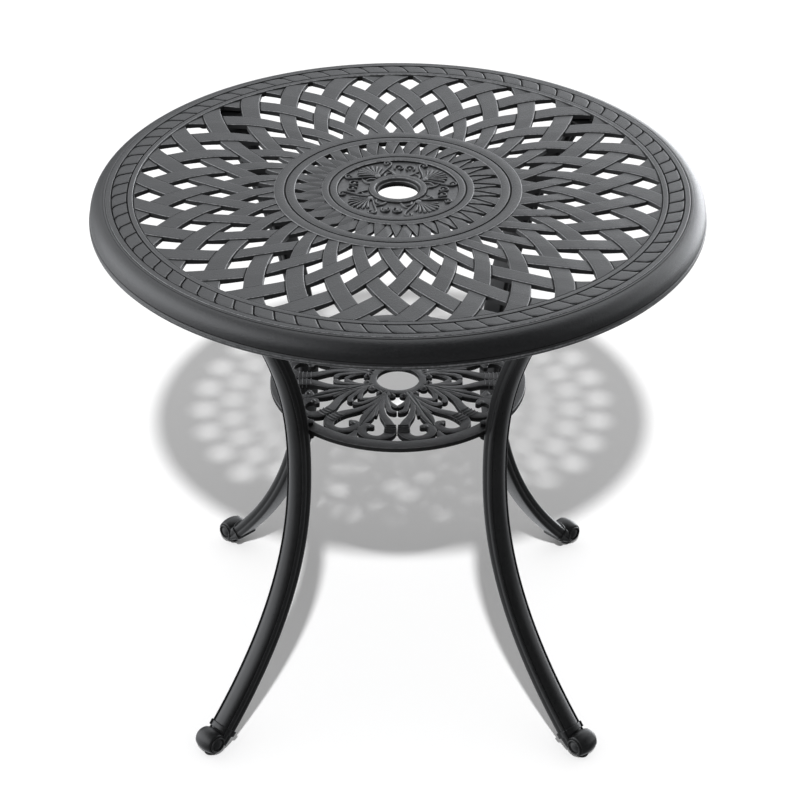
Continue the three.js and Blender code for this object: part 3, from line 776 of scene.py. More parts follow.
@dataclass
class TableTop:
    """The cast top: rim, rope border, woven field, ring, petal weave and medallion."""

    height: float = 714.0
    under: float = 707.0
    twist: float = 0.56
    border_inner: float = 332.0
    border_outer: float = 368.3
    inner_groove: float = 341.0
    outer_groove: float = 360.8
    groove_half: float = 1.25
    groove_depth: float = 2.0
    blocks: int = 80
    ring_inner: float = 130.2
    ring_outer: float = 157.0
    medal_outer: float = 96.6
    medal_inner: float = 76.9
    medal_floor: float = 711.0
    carving_foot: float = 710.8
    collar: float = 36.5
    hole: float = 25.2
    boss_radius: float = 341.0
    boss_side: float = 28.0

    def rope_shift(self, r: Array) -> tuple[Array, Array]:
        """Gives the line between two blocks of the rope border.

        It leaves the inner groove radially, drifts forwards and then turns as a quarter ellipse
        into the outer groove.

        Args:
            r: radii in mm.

        Returns:
            The angle of the line in degrees at each radius, and its slope in mm per mm.
        """
        low, bend, high = 342.3, 354.6, 359.6
        drift = 1.15 / (bend - low)
        t = np.clip((r - bend) / (high - bend), 0, 0.999)
        total = 2.25 - drift * (high - low)
        shift = drift * (np.clip(r, low, high) - low) + total * (1 - np.sqrt(1 - t * t))
        slope = drift + total * t / np.sqrt(1 - t * t) / (high - bend)
        return shift, np.radians(slope) * r

    def border(self) -> Skin:
        """Makes the flat border with its rope of slanted blocks.

        The face is a height over radius and angle: flat, less V-shaped cuts along the inner and
        outer grooves and along each line between blocks. Each cut gets shallower in proportion to
        the distance from its middle.

        Returns:
            The closed border ring.
        """
        r = np.array([
            332.0, 332.1, 332.4, 332.7, 333.0, 333.4, 333.8, 334.2, 334.6, 335.0, 338.6, 339.5, 339.8,
            340.1, 340.45, 340.8, 341.2, 341.55, 341.9, 342.3, 342.8, 344.0, 346.0, 348.5, 351.0, 353.0,
            354.6, 355.6, 356.5, 357.3, 357.9, 358.4, 358.8, 359.2, 359.6, 359.9, 360.3, 360.7, 361.0,
            361.3, 361.7, 362.1, 362.6, 364.0, 366.5, 367.4, 367.9, 368.2, 368.3])[:, None]
        steps = np.array([0, 0.3, 0.6, 0.9, 1.25, 1.8, 3.5, 8, 13.75, 19.5, 24, 25.7, 26.25, 26.6, 26.9, 27.2]) / 27.5
        share = np.tile(steps, self.blocks)
        anchor = (np.arange(self.blocks)[:, None] + 0.5 + steps).ravel() * 360 / self.blocks + self.twist - 0.2
        shift, slope = self.rope_shift(r)
        turn = np.radians(anchor + shift)
        gap = np.minimum(share, 1 - share) * 2 * pi / self.blocks * r / np.sqrt(1 + np.minimum(slope, 3) ** 2)
        inside = (r > self.inner_groove) & (r < self.outer_groove)
        rings = np.minimum(np.abs(r - self.inner_groove), np.abs(r - self.outer_groove))
        near = np.minimum(rings, 0.8 * np.where(inside, gap, 99))
        cut = np.clip(1 - near / self.groove_half, 0, 1)
        pillow = np.where(inside, 0.25 * (1 - smooth_step(near / 4)), 0)
        lip = np.interp(r, [332.0, 332.1, 332.4, 333.4, 334.4, 335.0], [2.1, 1.2, 1.0, 2.2, 0.15, 0])
        lip = lip + np.clip((r - 367.4) / 0.9, 0, 1) ** 2
        top = polar(r, turn, self.height - self.groove_depth * cut - pillow - 0.9 * lip)
        # The shoulders of the cuts and the lip are painted lighter, as rubbing and painted highlight; the cuts, the
        # lip's hollow and the walls are painted dark as shade.
        edge = np.clip(1 - np.abs(near / self.groove_half - 1.1) / 0.35, 0, 1) * 0.8
        edge = np.maximum(edge, (lip > 0.03) & (lip < 0.9))
        groove = np.clip(cut * 4 - 1, 0, 1)
        groove = groove + np.interp(r, [332.1, 332.4, 332.7, 333.3, 333.5, 333.9], [1, 0, 0, 1, 1, 0])
        wall_r = np.repeat([self.border_outer, self.border_inner], 2)[:, None]
        wall = polar(wall_r, turn[[-1, -1, 0, 0]], np.array([709.0, 708.3, 708.3, 709.0])[:, None])
        masks = [np.pad(mask, ((0, 4), (0, 0)), constant_values=deep) for mask, deep in ((groove, 1), (edge, 0))]
        return grid_skin(np.concatenate([top, wall]), True, *masks)

    def rim(self) -> Skin:
        """Makes the rolled rim: a quarter ellipse, a bead near its foot and a hollow underside.

        Returns:
            The closed rim.
        """
        t, s = np.linspace(1.455, 0.02, 30), np.linspace(0, 0.5 * pi, 14)
        start = [[367.9, 711.6], [368.3, 712.0], [368.7, 712.9], [369.2, 713.2], [371.1, 713.2], [371.6, 713.0],
                 [371.8, 712.5]]
        roll = np.column_stack([369.9 + 18.9 * np.cos(t), 691.2 + 21.2 * np.sin(t)])
        foot = [[388.8, 690.6], [388.75, 690.0], [388.1, 689.6], [388.05, 689.1], [388.6, 688.6], [389.3, 688.0],
                [389.85, 686.9], [390.0, 685.4], [389.9, 683.8], [389.4, 682.3], [388.6, 681.4], [387.6, 681.0],
                [386.2, 681.1], [385.5, 681.7], [385.4, 683.0], [385.4, 689.0]]
        hollow = np.column_stack([369.9 + 15.5 * np.cos(s), 690.7 + 16.8 * np.sin(s)])
        flat = [[350.0, 706.6], [332.6, 706.6], [332.2, 706.9], [332.2, 708.6], [368.0, 708.8]]
        outline = np.vstack([start, roll, foot, hollow, flat])
        lead, last = len(start) + len(roll), len(outline) - 4
        # Painted shade in the groove beside the border, above the bead and on the flat under the border; the bead is
        # painted lighter, as rubbing and painted highlight.
        groove = marks(len(outline), {
            0: [1, 1, 0.5, 0, 0, 0.3, 0.9], lead + 1: [0.3, 1, 1, 0.3], last: [1, 1, 1, 1]})
        return revolved(outline, 360, groove, marks(len(outline), {lead + 6: [0.3, 0.6, 0.3]}))

    def flat_ring(self) -> Skin:
        """Makes the flat ring: two softly crowned bands with a fine groove between them.

        Returns:
            The closed ring.
        """
        inner, outer, top = self.ring_inner, self.ring_outer, self.height
        middle = (inner + outer) / 2 - 0.9
        side = np.array([[-2.2, -0.1], [-1.5, -0.3], [-1.0, -0.9], [-0.4, -1.5]])
        outline = np.vstack([
            [inner, self.under], eased(inner, top, 1), [(inner + middle) / 2, top],
            np.vstack([side, side[::-1] * FLIP]) + [middle, top],
            [(outer + middle) / 2, top], eased(outer, top, -1)[::-1], [outer, self.under]])
        # Painted shade on the walls and in the fine groove; the eased corners are painted lighter, as rubbing and
        # painted highlight.
        groove = marks(20, {0: [1, 1], 8: [0.9, 1, 1, 0.9], 18: [1, 1]})
        edge = marks(20, {2: [1, 1, 0.2, 0, 0.2, 0.7], 12: [0.7, 0.2, 0, 0.2, 1, 1]})
        return revolved(outline, 256, groove, edge)

    def medallion(self) -> Skin:
        """Makes the dished middle: an outer band, the floor, the collar and the hub below.

        Returns:
            The closed medallion.
        """
        z, floor, collar = self.height, self.medal_floor, self.collar
        inner, outer, hole = self.medal_inner, self.medal_outer, self.hole
        outline = np.vstack([
            [outer, self.under], eased(outer, z, -1),
            [[89.2, z], [88.2, z - 0.2], [87.5, z - 0.9], [87.0, z - 1.4], [86.2, z - 1.4], [85.7, z - 0.9],
             [85.0, z - 0.2], [84.0, z]],
            eased(inner, z, 1)[::-1],
            [[inner - 0.1, floor + 0.3], [inner - 0.6, floor], [inner - 1.5, floor - 0.1],
             [inner - 2.2, floor - 0.1], [collar + 2.6, floor - 0.1], [collar + 1.8, floor - 0.1],
             [collar + 0.8, floor], [collar + 0.1, floor + 0.4], [collar, z - 0.9], [collar - 0.3, z - 0.3],
             [collar - 1.0, z], [30.2, z], [29.5, z - 0.25], [28.9, z - 1.0], [28.4, z - 2.4], [27.2, z - 3.1],
             [26.0, z - 3.5], [25.4, z - 4.3], [hole, z - 5.2], [hole, 706.6], [hole + 0.4, 706.1],
             [27.2, 705.8], [27.6, 701.5], [39.2, 701.5], [40.0, 702.3], [40.0, 706.4], [40.8, self.under]]])
        # Painted shade on the walls, in the outer band's groove and in the hollows by the floor and collar. The eased
        # corners are painted lighter, as rubbing and painted highlight, and the floor's four points at 0.45 paint the
        # floor between the carving lighter, as painted light.
        groove = marks(len(outline), {
            0: [1, 1], 7: [0.7, 1, 1, 0.7], 16: [0.6, 1, 0.6], 23: [0.6, 1],
            31: [0.3, 0.9, 0.3, 0, 0.2, 0.5, 0.8, 1, 1, 1]})
        edge = marks(len(outline), {
            2: [1, 1], 6: [0.6], 11: [0.6], 14: [1, 1], 19: [0.45] * 4, 25: [0.6, 1], 29: [1, 0.7], 34: [1]})
        return revolved(outline, 256, groove, edge)

    def bead(self, stations: Values, count: int, rise: float, way: float = 1.0) -> Skin:
        """Makes a bead of the carving, from its foot in the floor up to its rise."""
        return carried(sided(stations, way), count, self.carving_foot + rise, self.carving_foot - 0.8)

    def palmette(self) -> Skin:
        """Makes one palmette on the +X axis: a knob, a fan of lobes and two curled stems.

        Each lobe is a bead from the knob to its tip, thicker towards the tip. A stem runs round
        the fan and closes in a small ring about a ball.

        Returns:
            The closed palmette.
        """
        parts = [dome(43.2, 0.0, 4.6, self.carving_foot, 3.8)]
        share, half = np.array([0.12, 0.4, 0.7, 1.0]), [0.6, 1.2, 2.05, 2.5]
        spread, reach = np.radians(np.linspace(-45, 45, 8)), [23.5, 26.0, 27.8, 28.8, 28.8, 27.8, 26.0, 23.5]
        for bend, length in zip(spread, reach):
            lobe = polar(share * length, bend * (0.75 + 0.25 * share), half) + [42.6, 0, 0]
            parts.append(self.bead(lobe, 9, 2.7))
        stem = [[42.8, 4.6, 1.0], [46.6, 10.6, 1.35], [50.2, 17.4, 1.4], [53.4, 24.6, 1.4], [57.0, 31.0, 1.4],
                [61.6, 35.0, 1.4], [66.4, 34.2, 1.4], [68.2, 30.4, 1.35], [65.6, 27.0, 1.3], [61.8, 27.6, 1.0]]
        leaf = [[39.0, 7.5, 2.0], [42.5, 11.0, 2.3], [43.0, 16.0, 1.5], [41.5, 20.5, 0.7]]
        for way in SIDES:
            parts += [self.bead(stem, 34, 3.1, way), self.bead(leaf, 10, 2.2, way),
                      dome(63.4, way * 30.9, 1.9, self.carving_foot, 3.0, 14)]
        return joined(parts)

    def scroll_pair(self) -> Skin:
        """Makes the two small C scrolls between palmettes, on the +X axis, and their leaf tips.

        Returns:
            The scrolls, tips and balls.
        """
        sweep = np.radians(np.linspace(-150, 120, 9))
        ring = np.column_stack([57 + 5.9 * np.cos(sweep), 7.4 + 5.4 * np.sin(sweep), np.linspace(0.7, 1.5, 9)])
        tip = [[38.5, 9.5, 1.8], [42.6, 12.4, 2.3], [46.2, 15.4, 1.6], [49.0, 19.5, 0.8]]
        parts = []
        for way in SIDES:
            parts += [self.bead(ring, 26, 3.0, way), self.bead(tip, 10, 2.4, way),
                      dome(56.6, way * 7.0, 2.1, self.carving_foot, 3.0, 14)]
        return joined(parts)

    def bosses(self) -> Skin:
        """Makes the eight tapped bosses under the border, as rings with an open hole.

        Returns:
            The bosses.
        """
        outline = [[8.3, 708.0], [7.9, 706.4], [7.6, 705.4], [7.6, 702.5], [7.1, 702.0], [4.8, 702.0], [4.3, 702.4],
                   [4.3, 709.9], [6.0, 709.9]]
        ring = revolved(outline, 28, 0.0, marks(9, {3: [0.8, 0.8]}))
        return around(joined([ring.moved(self.boss_radius, way * self.boss_side) for way in SIDES]), 4, 45.0)

    def build(self) -> None:
        """Builds and dresses every part of the top."""
        field = WovenRing(5.6, 314.5, 45.2, 713.3, 1.4, 706.3, 155.0, 332.4, bend=0.3)
        petals = WovenRing(7.2, 127.8, 39.8, 713.2, 1.6, 707.3, 94.6, 132.2, corner=0.8, crease_shade=0.5)
        carving = [around(self.palmette(), 4, 36.5 + self.twist), around(self.scroll_pair(), 4, 81.5 + self.twist)]
        add_piece("top_rim", self.rim(), TOP_COAT, "table_top")
        add_piece("top_rope_border", self.border(), TOP_COAT, sharp=50)
        add_piece("top_woven_field", field.skin(), TOP_COAT)
        add_piece("top_ring", self.flat_ring(), TOP_COAT)
        add_piece("top_petal_weave", petals.skin(), TOP_COAT)
        add_piece("top_medallion", self.medallion(), TOP_COAT)
        add_piece("top_palmettes", joined(carving), TOP_COAT, sharp=60)
        add_piece("top_bosses", self.bosses(), TOP_COAT)


# ---------------------------------------------------------------- lower shelf


@dataclass
class LowerShelf:
    """The cast scrollwork shelf: band, hub ring and eight bays of ribbons, cups and leaves."""

    top: float = 431.0
    bottom: float = 424.5
    outer: float = 168.3
    band_width: float = 18.0
    hole: float = 28.0
    hub: float = 41.5
    bays: int = 8
    strap: tuple = (
        (40, 17.5, 3.5), (60, 19.8, 3.5), (75, 20, 3.8), (91, 17.5, 4.8), (106, 11.5, 5.8), (118, 8.6, 7.2),
        (127, 8.5, 7.9), (135, 11, 7.3), (141.5, 18, 6.0), (143.4, 26, 5.2), (140.5, 36, 5.2), (132, 43.6, 5.5),
        (121, 44.6, 5.7), (114, 39.0, 5.0), (115.5, 32.5, 3.6))
    finger: tuple = ((48, 19.5, 2.0), (58, 23.0, 2.6), (70, 25.9, 2.9), (80, 27.2, 2.7), (89, 27.6, 1.8))
    cup: tuple = (
        (40, 14.7, 2.3), (50, 14.6, 2.4), (59, 13.6, 3.0), (67.5, 12, 3.3), (75, 10.6, 3.5), (80, 7.6, 3.8),
        (81.8, 4, 3.5))
    vee: tuple = ((46, 12.4, 1.6), (53, 11.2, 2.1), (59, 9, 2.8), (64, 5.6, 3.3), (67.6, 2.2, 3.2))
    leaf: tuple = (
        (40, 0, 5.0), (64, 0, 4.0), (78, 0, 3.2), (88, 0, 5.4), (98, 0, 7.9), (108, 0, 7.2), (117, 0, 4.4),
        (123, 0, 1.4))
    clips: tuple = ((114.5, 1.7, 15.0), (120.0, 1.3, 15.8), (125.5, 1.1, 16.2), (130.5, 1.2, 16.2))

    def plain(self, stations: Values, count: int, lift: float, section: Section = Section.PLATE) -> Skin:
        """Makes one ribbon of the casting.

        Args:
            stations: distance out, distance aside and half width.
            count: points along it.
            lift: how far its face stands above the shelf's.
            section: its section.

        Returns:
            The closed ribbon.
        """
        return carried(stations, count, self.top + lift, self.bottom, section, 0.9, 0.12)

    def bay(self) -> Skin:
        """Makes one bay on the +X axis: two scrolls, two fingers, the cup, its inner V and the clips.

        Returns:
            The bay.
        """
        ribbons = ((self.strap, 72, 0.0), (self.finger, 16, -0.3), (self.cup, 30, 0.2), (self.vee, 22, -0.5))
        parts = []
        for way in SIDES:
            parts += [self.plain(sided(stations, way), count, lift) for stations, count, lift in ribbons]
            for out, low, high in self.clips:
                line = sided([[out, low, 0.9], [out + 0.6, (low + high) / 2, 0.9], [out, high, 0.9]], way)
                parts.append(carried(line, 8, self.top + 1.3, self.bottom + 1, end_steps=3))
            parts.append(dome(117.5, way * 37.2, 3.4, self.top - 0.3, 2.0, 16))
        return joined(parts)

    def between(self) -> Skin:
        """Makes the leaf on the line between two bays, with its vein, and the link to the band.

        Returns:
            The leaf and the link.
        """
        leaf = self.plain(self.leaf, 30, 0.3, Section.VEINED)
        link = [[139.0, 0, 3.2], [146.0, 0, 4.8], [152.5, 0, 8.0]]
        return joined([leaf, carried(link, 8, self.top - 0.4, self.bottom, Section.PLATE)])

    def ring(self, inner: float, outer: float, segments: int) -> Skin:
        """Makes a flat ring with rounded upper edges.

        Args:
            inner: inner radius.
            outer: outer radius.
            segments: steps of the full turn.

        Returns:
            The closed ring.
        """
        t, b = self.top, self.bottom
        side = np.array([[0.5, b], [0, b + 0.6], [0, t - 1.2], [0.2, t - 0.5], [0.7, t - 0.1], [1.4, t]])
        outline = np.vstack([side + [inner, 0], [(inner + outer) / 2, t + 0.15], side[::-1] * FLIP + [outer, 0]])
        # Painted shade on the walls; the rounded upper corners are painted lighter, as rubbing and painted highlight.
        masks = there_and_back([1, 1, 1, 0, 0, 0, 0]), there_and_back([0, 0, 0, 1, 1, 0, 0])
        return revolved(outline, segments, *masks)

    def hub_beads(self) -> Skin:
        """Makes the scalloped edge and the beads round the hub.

        Returns:
            All the scallops and beads.
        """
        t, b = self.top, self.bottom
        lobe = [[0.2, b], [4.9, b], [5.5, b + 0.6], [5.5, t - 1.8], [5.2, t - 1.0], [4.3, t - 0.6], [0.2, t - 0.5]]
        # Painted shade on the scallops' walls; their upper edges are painted lighter, as rubbing and painted
        # highlight.
        scallop = revolved(lobe, 18, [1, 1, 1, 0.9, 0, 0, 0], [0, 0, 0, 0.6, 1, 0.4, 0], solid=True)
        bead = dome(41.2, 0.0, 2.9, t - 0.6, 3.0, 16)
        return around(joined([scallop.moved(40.6), bead]), 2 * self.bays, 90.0 / self.bays)

    def build(self) -> None:
        """Builds and dresses the shelf."""
        parts = [
            self.ring(self.outer - self.band_width, self.outer, 256),
            self.ring(self.hole, self.hub - 4.0, 128),
            self.hub_beads(),
            around(self.bay(), self.bays),
            around(self.between(), self.bays, 180.0 / self.bays),
        ]
        add_piece("shelf_scrollwork", joined(parts), LIT_SHELF_COAT, "lower_shelf")


# ---------------------------------------------------------------- legs


@dataclass
class Leg:
    """A bowed leg with its flange, shelf lug, ankle band and scroll foot, built towards +X."""

    depth: float = 20.0
    waist: tuple[float, float] = (179.8, 382.0)
    head: tuple[float, float] = (333.1, 698.9)
    flare: float = 20.0
    flare_power: float = 8.0
    ankle: tuple[float, float] = (326.4, 29.0)
    upper_power: float = 2.15
    lower_power: float = 2.26
    foot: tuple[float, float] = (347.5, 20.0)
    barrel: float = 16.2
    barrel_half: float = 14.0
    eye: float = 11.6
    stud_hole: float = 3.35

    def bow(self, z: Array) -> Array:
        """Gives the leg's middle radius: waist plus powers of the height above or below it.

        Args:
            z: heights in mm.

        Returns:
            Radii in mm.
        """
        rise = np.clip((z - self.waist[1]) / (self.head[1] - self.waist[1]), 0, None)
        fall = np.clip((self.waist[1] - z) / (self.waist[1] - self.ankle[1]), 0, None)
        spread = self.head[0] - self.flare - self.waist[0]
        up = spread * rise**self.upper_power + self.flare * rise**self.flare_power
        down = (self.ankle[0] - self.waist[0]) * fall**self.lower_power
        return self.waist[0] + up + down

    def section(self, grow: float = 0.0) -> tuple[Array, Array, Array]:
        """Draws the leg's section: a crowned front between two grooves and beads, and a flat back.

        Args:
            grow: how far it stands proud of the plain leg all round.

        Returns:
            The section as points of across and out, and its groove and edge masks.
        """
        s, front = np.linspace(-1, 1, 15), self.depth / 2
        crown = np.column_stack([s * 11.6, front - 3.6 * np.abs(s) ** 2.2])
        side = np.array([
            [12.0, -4.4], [12.4, -4.9], [12.8, -4.9], [13.2, -4.3], [13.6, -3.7], [14.2, -3.4], [14.9, -3.7],
            [15.5, -4.5], [15.8, -5.5], [16.0, -6.5], [15.9, -9.0], [15.5, -10.4], [15.4, -11.8], [15.9, -13.2],
            [16.0, -14.6], [15.9, -17.0], [15.3, -18.6], [14.2, -19.6], [12.6, -self.depth]]) + [0, front]
        points = np.vstack([crown, side, side[::-1] * FLIP]) * [1 + grow / 16.0, 1 + grow / front]
        # Painted shade in the grooves beside the crown and on the side; the beads are painted lighter, as rubbing and
        # painted highlight.
        groove = marks(len(side), {1: [0.8, 1, 0.8], 11: [0.45, 0.45]})
        edge = marks(len(side), {5: [0.7, 1, 0.7]})
        return points, *(np.concatenate([0 * s, mask, mask[::-1]]) for mask in (groove, edge))

    def swept(self, path: Array, scale: Array, grow: float = 0.0) -> Skin:
        """Carries the section along a path in the leg's own plane.

        Args:
            path: array of radius and height, running upwards.
            scale: how thick the section is at each point of the path.
            grow: how far it stands proud.

        Returns:
            The closed length of leg.
        """
        section, groove, edge = self.section(grow)
        heading = np.gradient(path, axis=0)
        heading /= np.linalg.norm(heading, axis=1, keepdims=True)
        depth = section[:, 1] * scale[:, None]
        r = path[:, :1] + heading[:, 1:] * depth
        z = path[:, 1:] - heading[:, :1] * depth
        return grid_skin(np.stack([r, np.broadcast_to(section[:, 0], r.shape), z], -1), False, groove, edge)

    def tail(self) -> Array:
        """Gives the path from inside the scroll up to the ankle, a cubic through four guide points.

        Returns:
            Array of radius and height.
        """
        below, above = self.bow(np.array([29.0, 30.0]))
        heading = np.array([above - below, 1.0])
        heading /= np.linalg.norm(heading)
        guides = [self.ankle, self.ankle - 9.0 * heading, [337.8, 14.5], [347.5, 12.5]]
        t = np.linspace(0, 0.66, 14)[:, None]
        weights = [(1 - t) ** 3, 3 * t * (1 - t) ** 2, 3 * t * t * (1 - t), t**3]
        return sum(weight * np.array(guide) for weight, guide in zip(weights, guides))[::-1]

    def barrel_skin(self) -> Skin:
        """Makes the scroll: a barrel across the foot with a raised eye on each side.

        Returns:
            The closed scroll.
        """
        b, e = self.barrel_half, self.eye
        share = np.linspace(0, 1, 9)
        ball = np.column_stack([self.barrel * np.sqrt(1 - (0.56 * share) ** 2), b * share])
        rim = [[12.4, b + 0.5], [e + 0.2, b + 0.6], [e - 0.2, b + 0.9], [e - 0.4, b + 1.6], [e - 0.6, b + 2.4],
               [e - 1.2, b + 2.9], [e - 2.0, b + 2.9], [e - 2.7, b + 2.4], [e - 3.0, b + 1.6], [e - 3.5, b + 1.4],
               [6.6, b + 1.7], [5.0, b + 2.4], [3.0, b + 2.85], [1.2, b + 3.0], [0.15, b + 3.0]]
        half = np.vstack([ball, rim])
        # Painted shade in the grooves either side of the eye's raised ring; the barrel's end and the ring's top are
        # painted lighter, as rubbing and painted highlight.
        groove = marks(len(half), {9: [0.4, 1, 0.8], 16: [0.5, 1, 0.8]})
        edge = marks(len(half), {8: [0.5], 13: [0.8, 1, 0.6]})
        masks = [there_and_back(mask[::-1]) for mask in (groove, edge)]
        drum = revolved(np.vstack([half[:0:-1] * -FLIP, half]), 72, *masks, solid=True)
        x, y, z = drum.points.T
        return replace(drum, points=np.column_stack([x + self.foot[0], z, y + self.foot[1]])).outward()

    def foot_skin(self) -> Skin:
        """Makes the scroll with the stud's hole bored up into it, and the boss round the hole.

        Returns:
            The foot.
        """
        bore, out = self.stud_hole, self.foot[0]
        hole = revolved([[0.1, -2.0], [bore, -2.0], [bore, 22.6], [0.1, 22.9]], 32, solid=True)
        outline = [[bore, 3.75], [6.9, 3.75], [7.5, 4.3], [7.5, 8.0], [6.5, 9.5], [bore, 9.5]]
        boss = revolved(outline, 32, 0.0, marks(6, {1: [1, 1]}))
        return joined([bored(self.barrel_skin(), hole.moved(out)), boss.moved(out)])

    def flange(self) -> Skin:
        """Makes the plate that bolts up to the top, a rounded rectangle with eased edges.

        Returns:
            The closed plate.
        """
        t = np.linspace(0, 0.5 * pi, 7)
        corners = ((356.0, 30.0), (326.0, 22.0), (326.0, -22.0), (356.0, -30.0))
        outline = np.vstack([polar(9.0, t + n * pi / 2, 0.0) + [*at, 0] for n, at in enumerate(corners)])
        inwards = np.array([340.5, 0, 0]) - outline
        inwards *= 0.8 / np.linalg.norm(inwards, axis=1, keepdims=True)
        levels = ((1, 696.1), (0, 696.9), (0, 700.9), (1, 701.7))
        rows = np.array([outline + inwards * shrink + [0, 0, z] for shrink, z in levels])
        # The plate's edges are painted lighter, as rubbing and painted highlight.
        return grid_skin(rows, False, 0.0, [[0.6], [1], [1], [0.6]])

    def lug(self) -> Skin:
        """Makes the lug under the shelf, with a round end about its bolt."""
        line = [[158.0, 0, 9.0], [166.0, 0, 9.0], [176.0, 0, 9.4]]
        return carried(line, 8, 424.2, 416.2, Section.PLATE, corner=0.8, crown=0.0, end_steps=8)

    def web(self) -> Skin:
        """Makes the fillet that spreads the leg's head into the flange, square with round corners.

        Returns:
            The closed fillet.
        """
        level, grow = np.array([[682.0, 688.0, 692.0, 694.8, 696.4], [0, 0.3, 0.9, 1.9, 3.4]])[..., None]
        turn = full_turn(40)
        across, aside = (np.sign(wave) * np.abs(wave) ** 0.45 for wave in (np.cos(turn), np.sin(turn)))
        x, y = self.bow(level) + (9.5 + grow) * across, (15.4 + grow) * aside
        return grid_skin(np.stack([x, y, np.broadcast_to(level, x.shape)], -1), False)

    def skin(self) -> Skin:
        """Puts the whole leg together, built towards +X.

        Returns:
            The leg, each of its lengths closed by itself.
        """
        z = np.linspace(self.ankle[1], self.head[1], 110)
        shank = self.swept(np.column_stack([self.bow(z), z]), np.ones(110))
        shank = replace(shank, points=np.minimum(shank.points, [999.0, 999.0, 701.4]))
        tail = self.tail()
        toe = self.swept(tail, np.linspace(0.72, 1, len(tail)))
        z = np.array([-3.9, -3.7, -3.2, -2.0, 0, 2.0, 3.2, 3.7, 3.9])
        heading = tail[-1] - tail[-2]
        heading /= np.linalg.norm(heading)
        swell = np.array([0.97, 1.0, 1.03, 1.04, 1.05, 1.06, 1.06, 1.03, 0.97])
        band = self.swept(self.ankle + z[:, None] * heading, swell, 1.6)
        # The band is painted lighter at its edges, most at its upper edge, as rubbing and painted highlight.
        rows = np.repeat([0.4, 0.6, 0.2, 0, 0, 0, 0.6, 1.0, 0.8], len(self.section()[0]))
        band = replace(band, edge=np.append(rows, [0, 0]), groove=np.zeros(len(band.points)))
        return joined([shank, toe, band, self.foot_skin(), self.flange(), self.lug(), self.web()])

    def build(self) -> None:
        """Builds and dresses the four legs."""
        shape = self.skin()
        for letter, angle in LEG_ANGLES.items():
            add_piece(f"cast_leg_{letter}", shape.turned(angle), LEG_COAT, f"leg_{letter}", sharp=45)


# ---------------------------------------------------------------- fixings


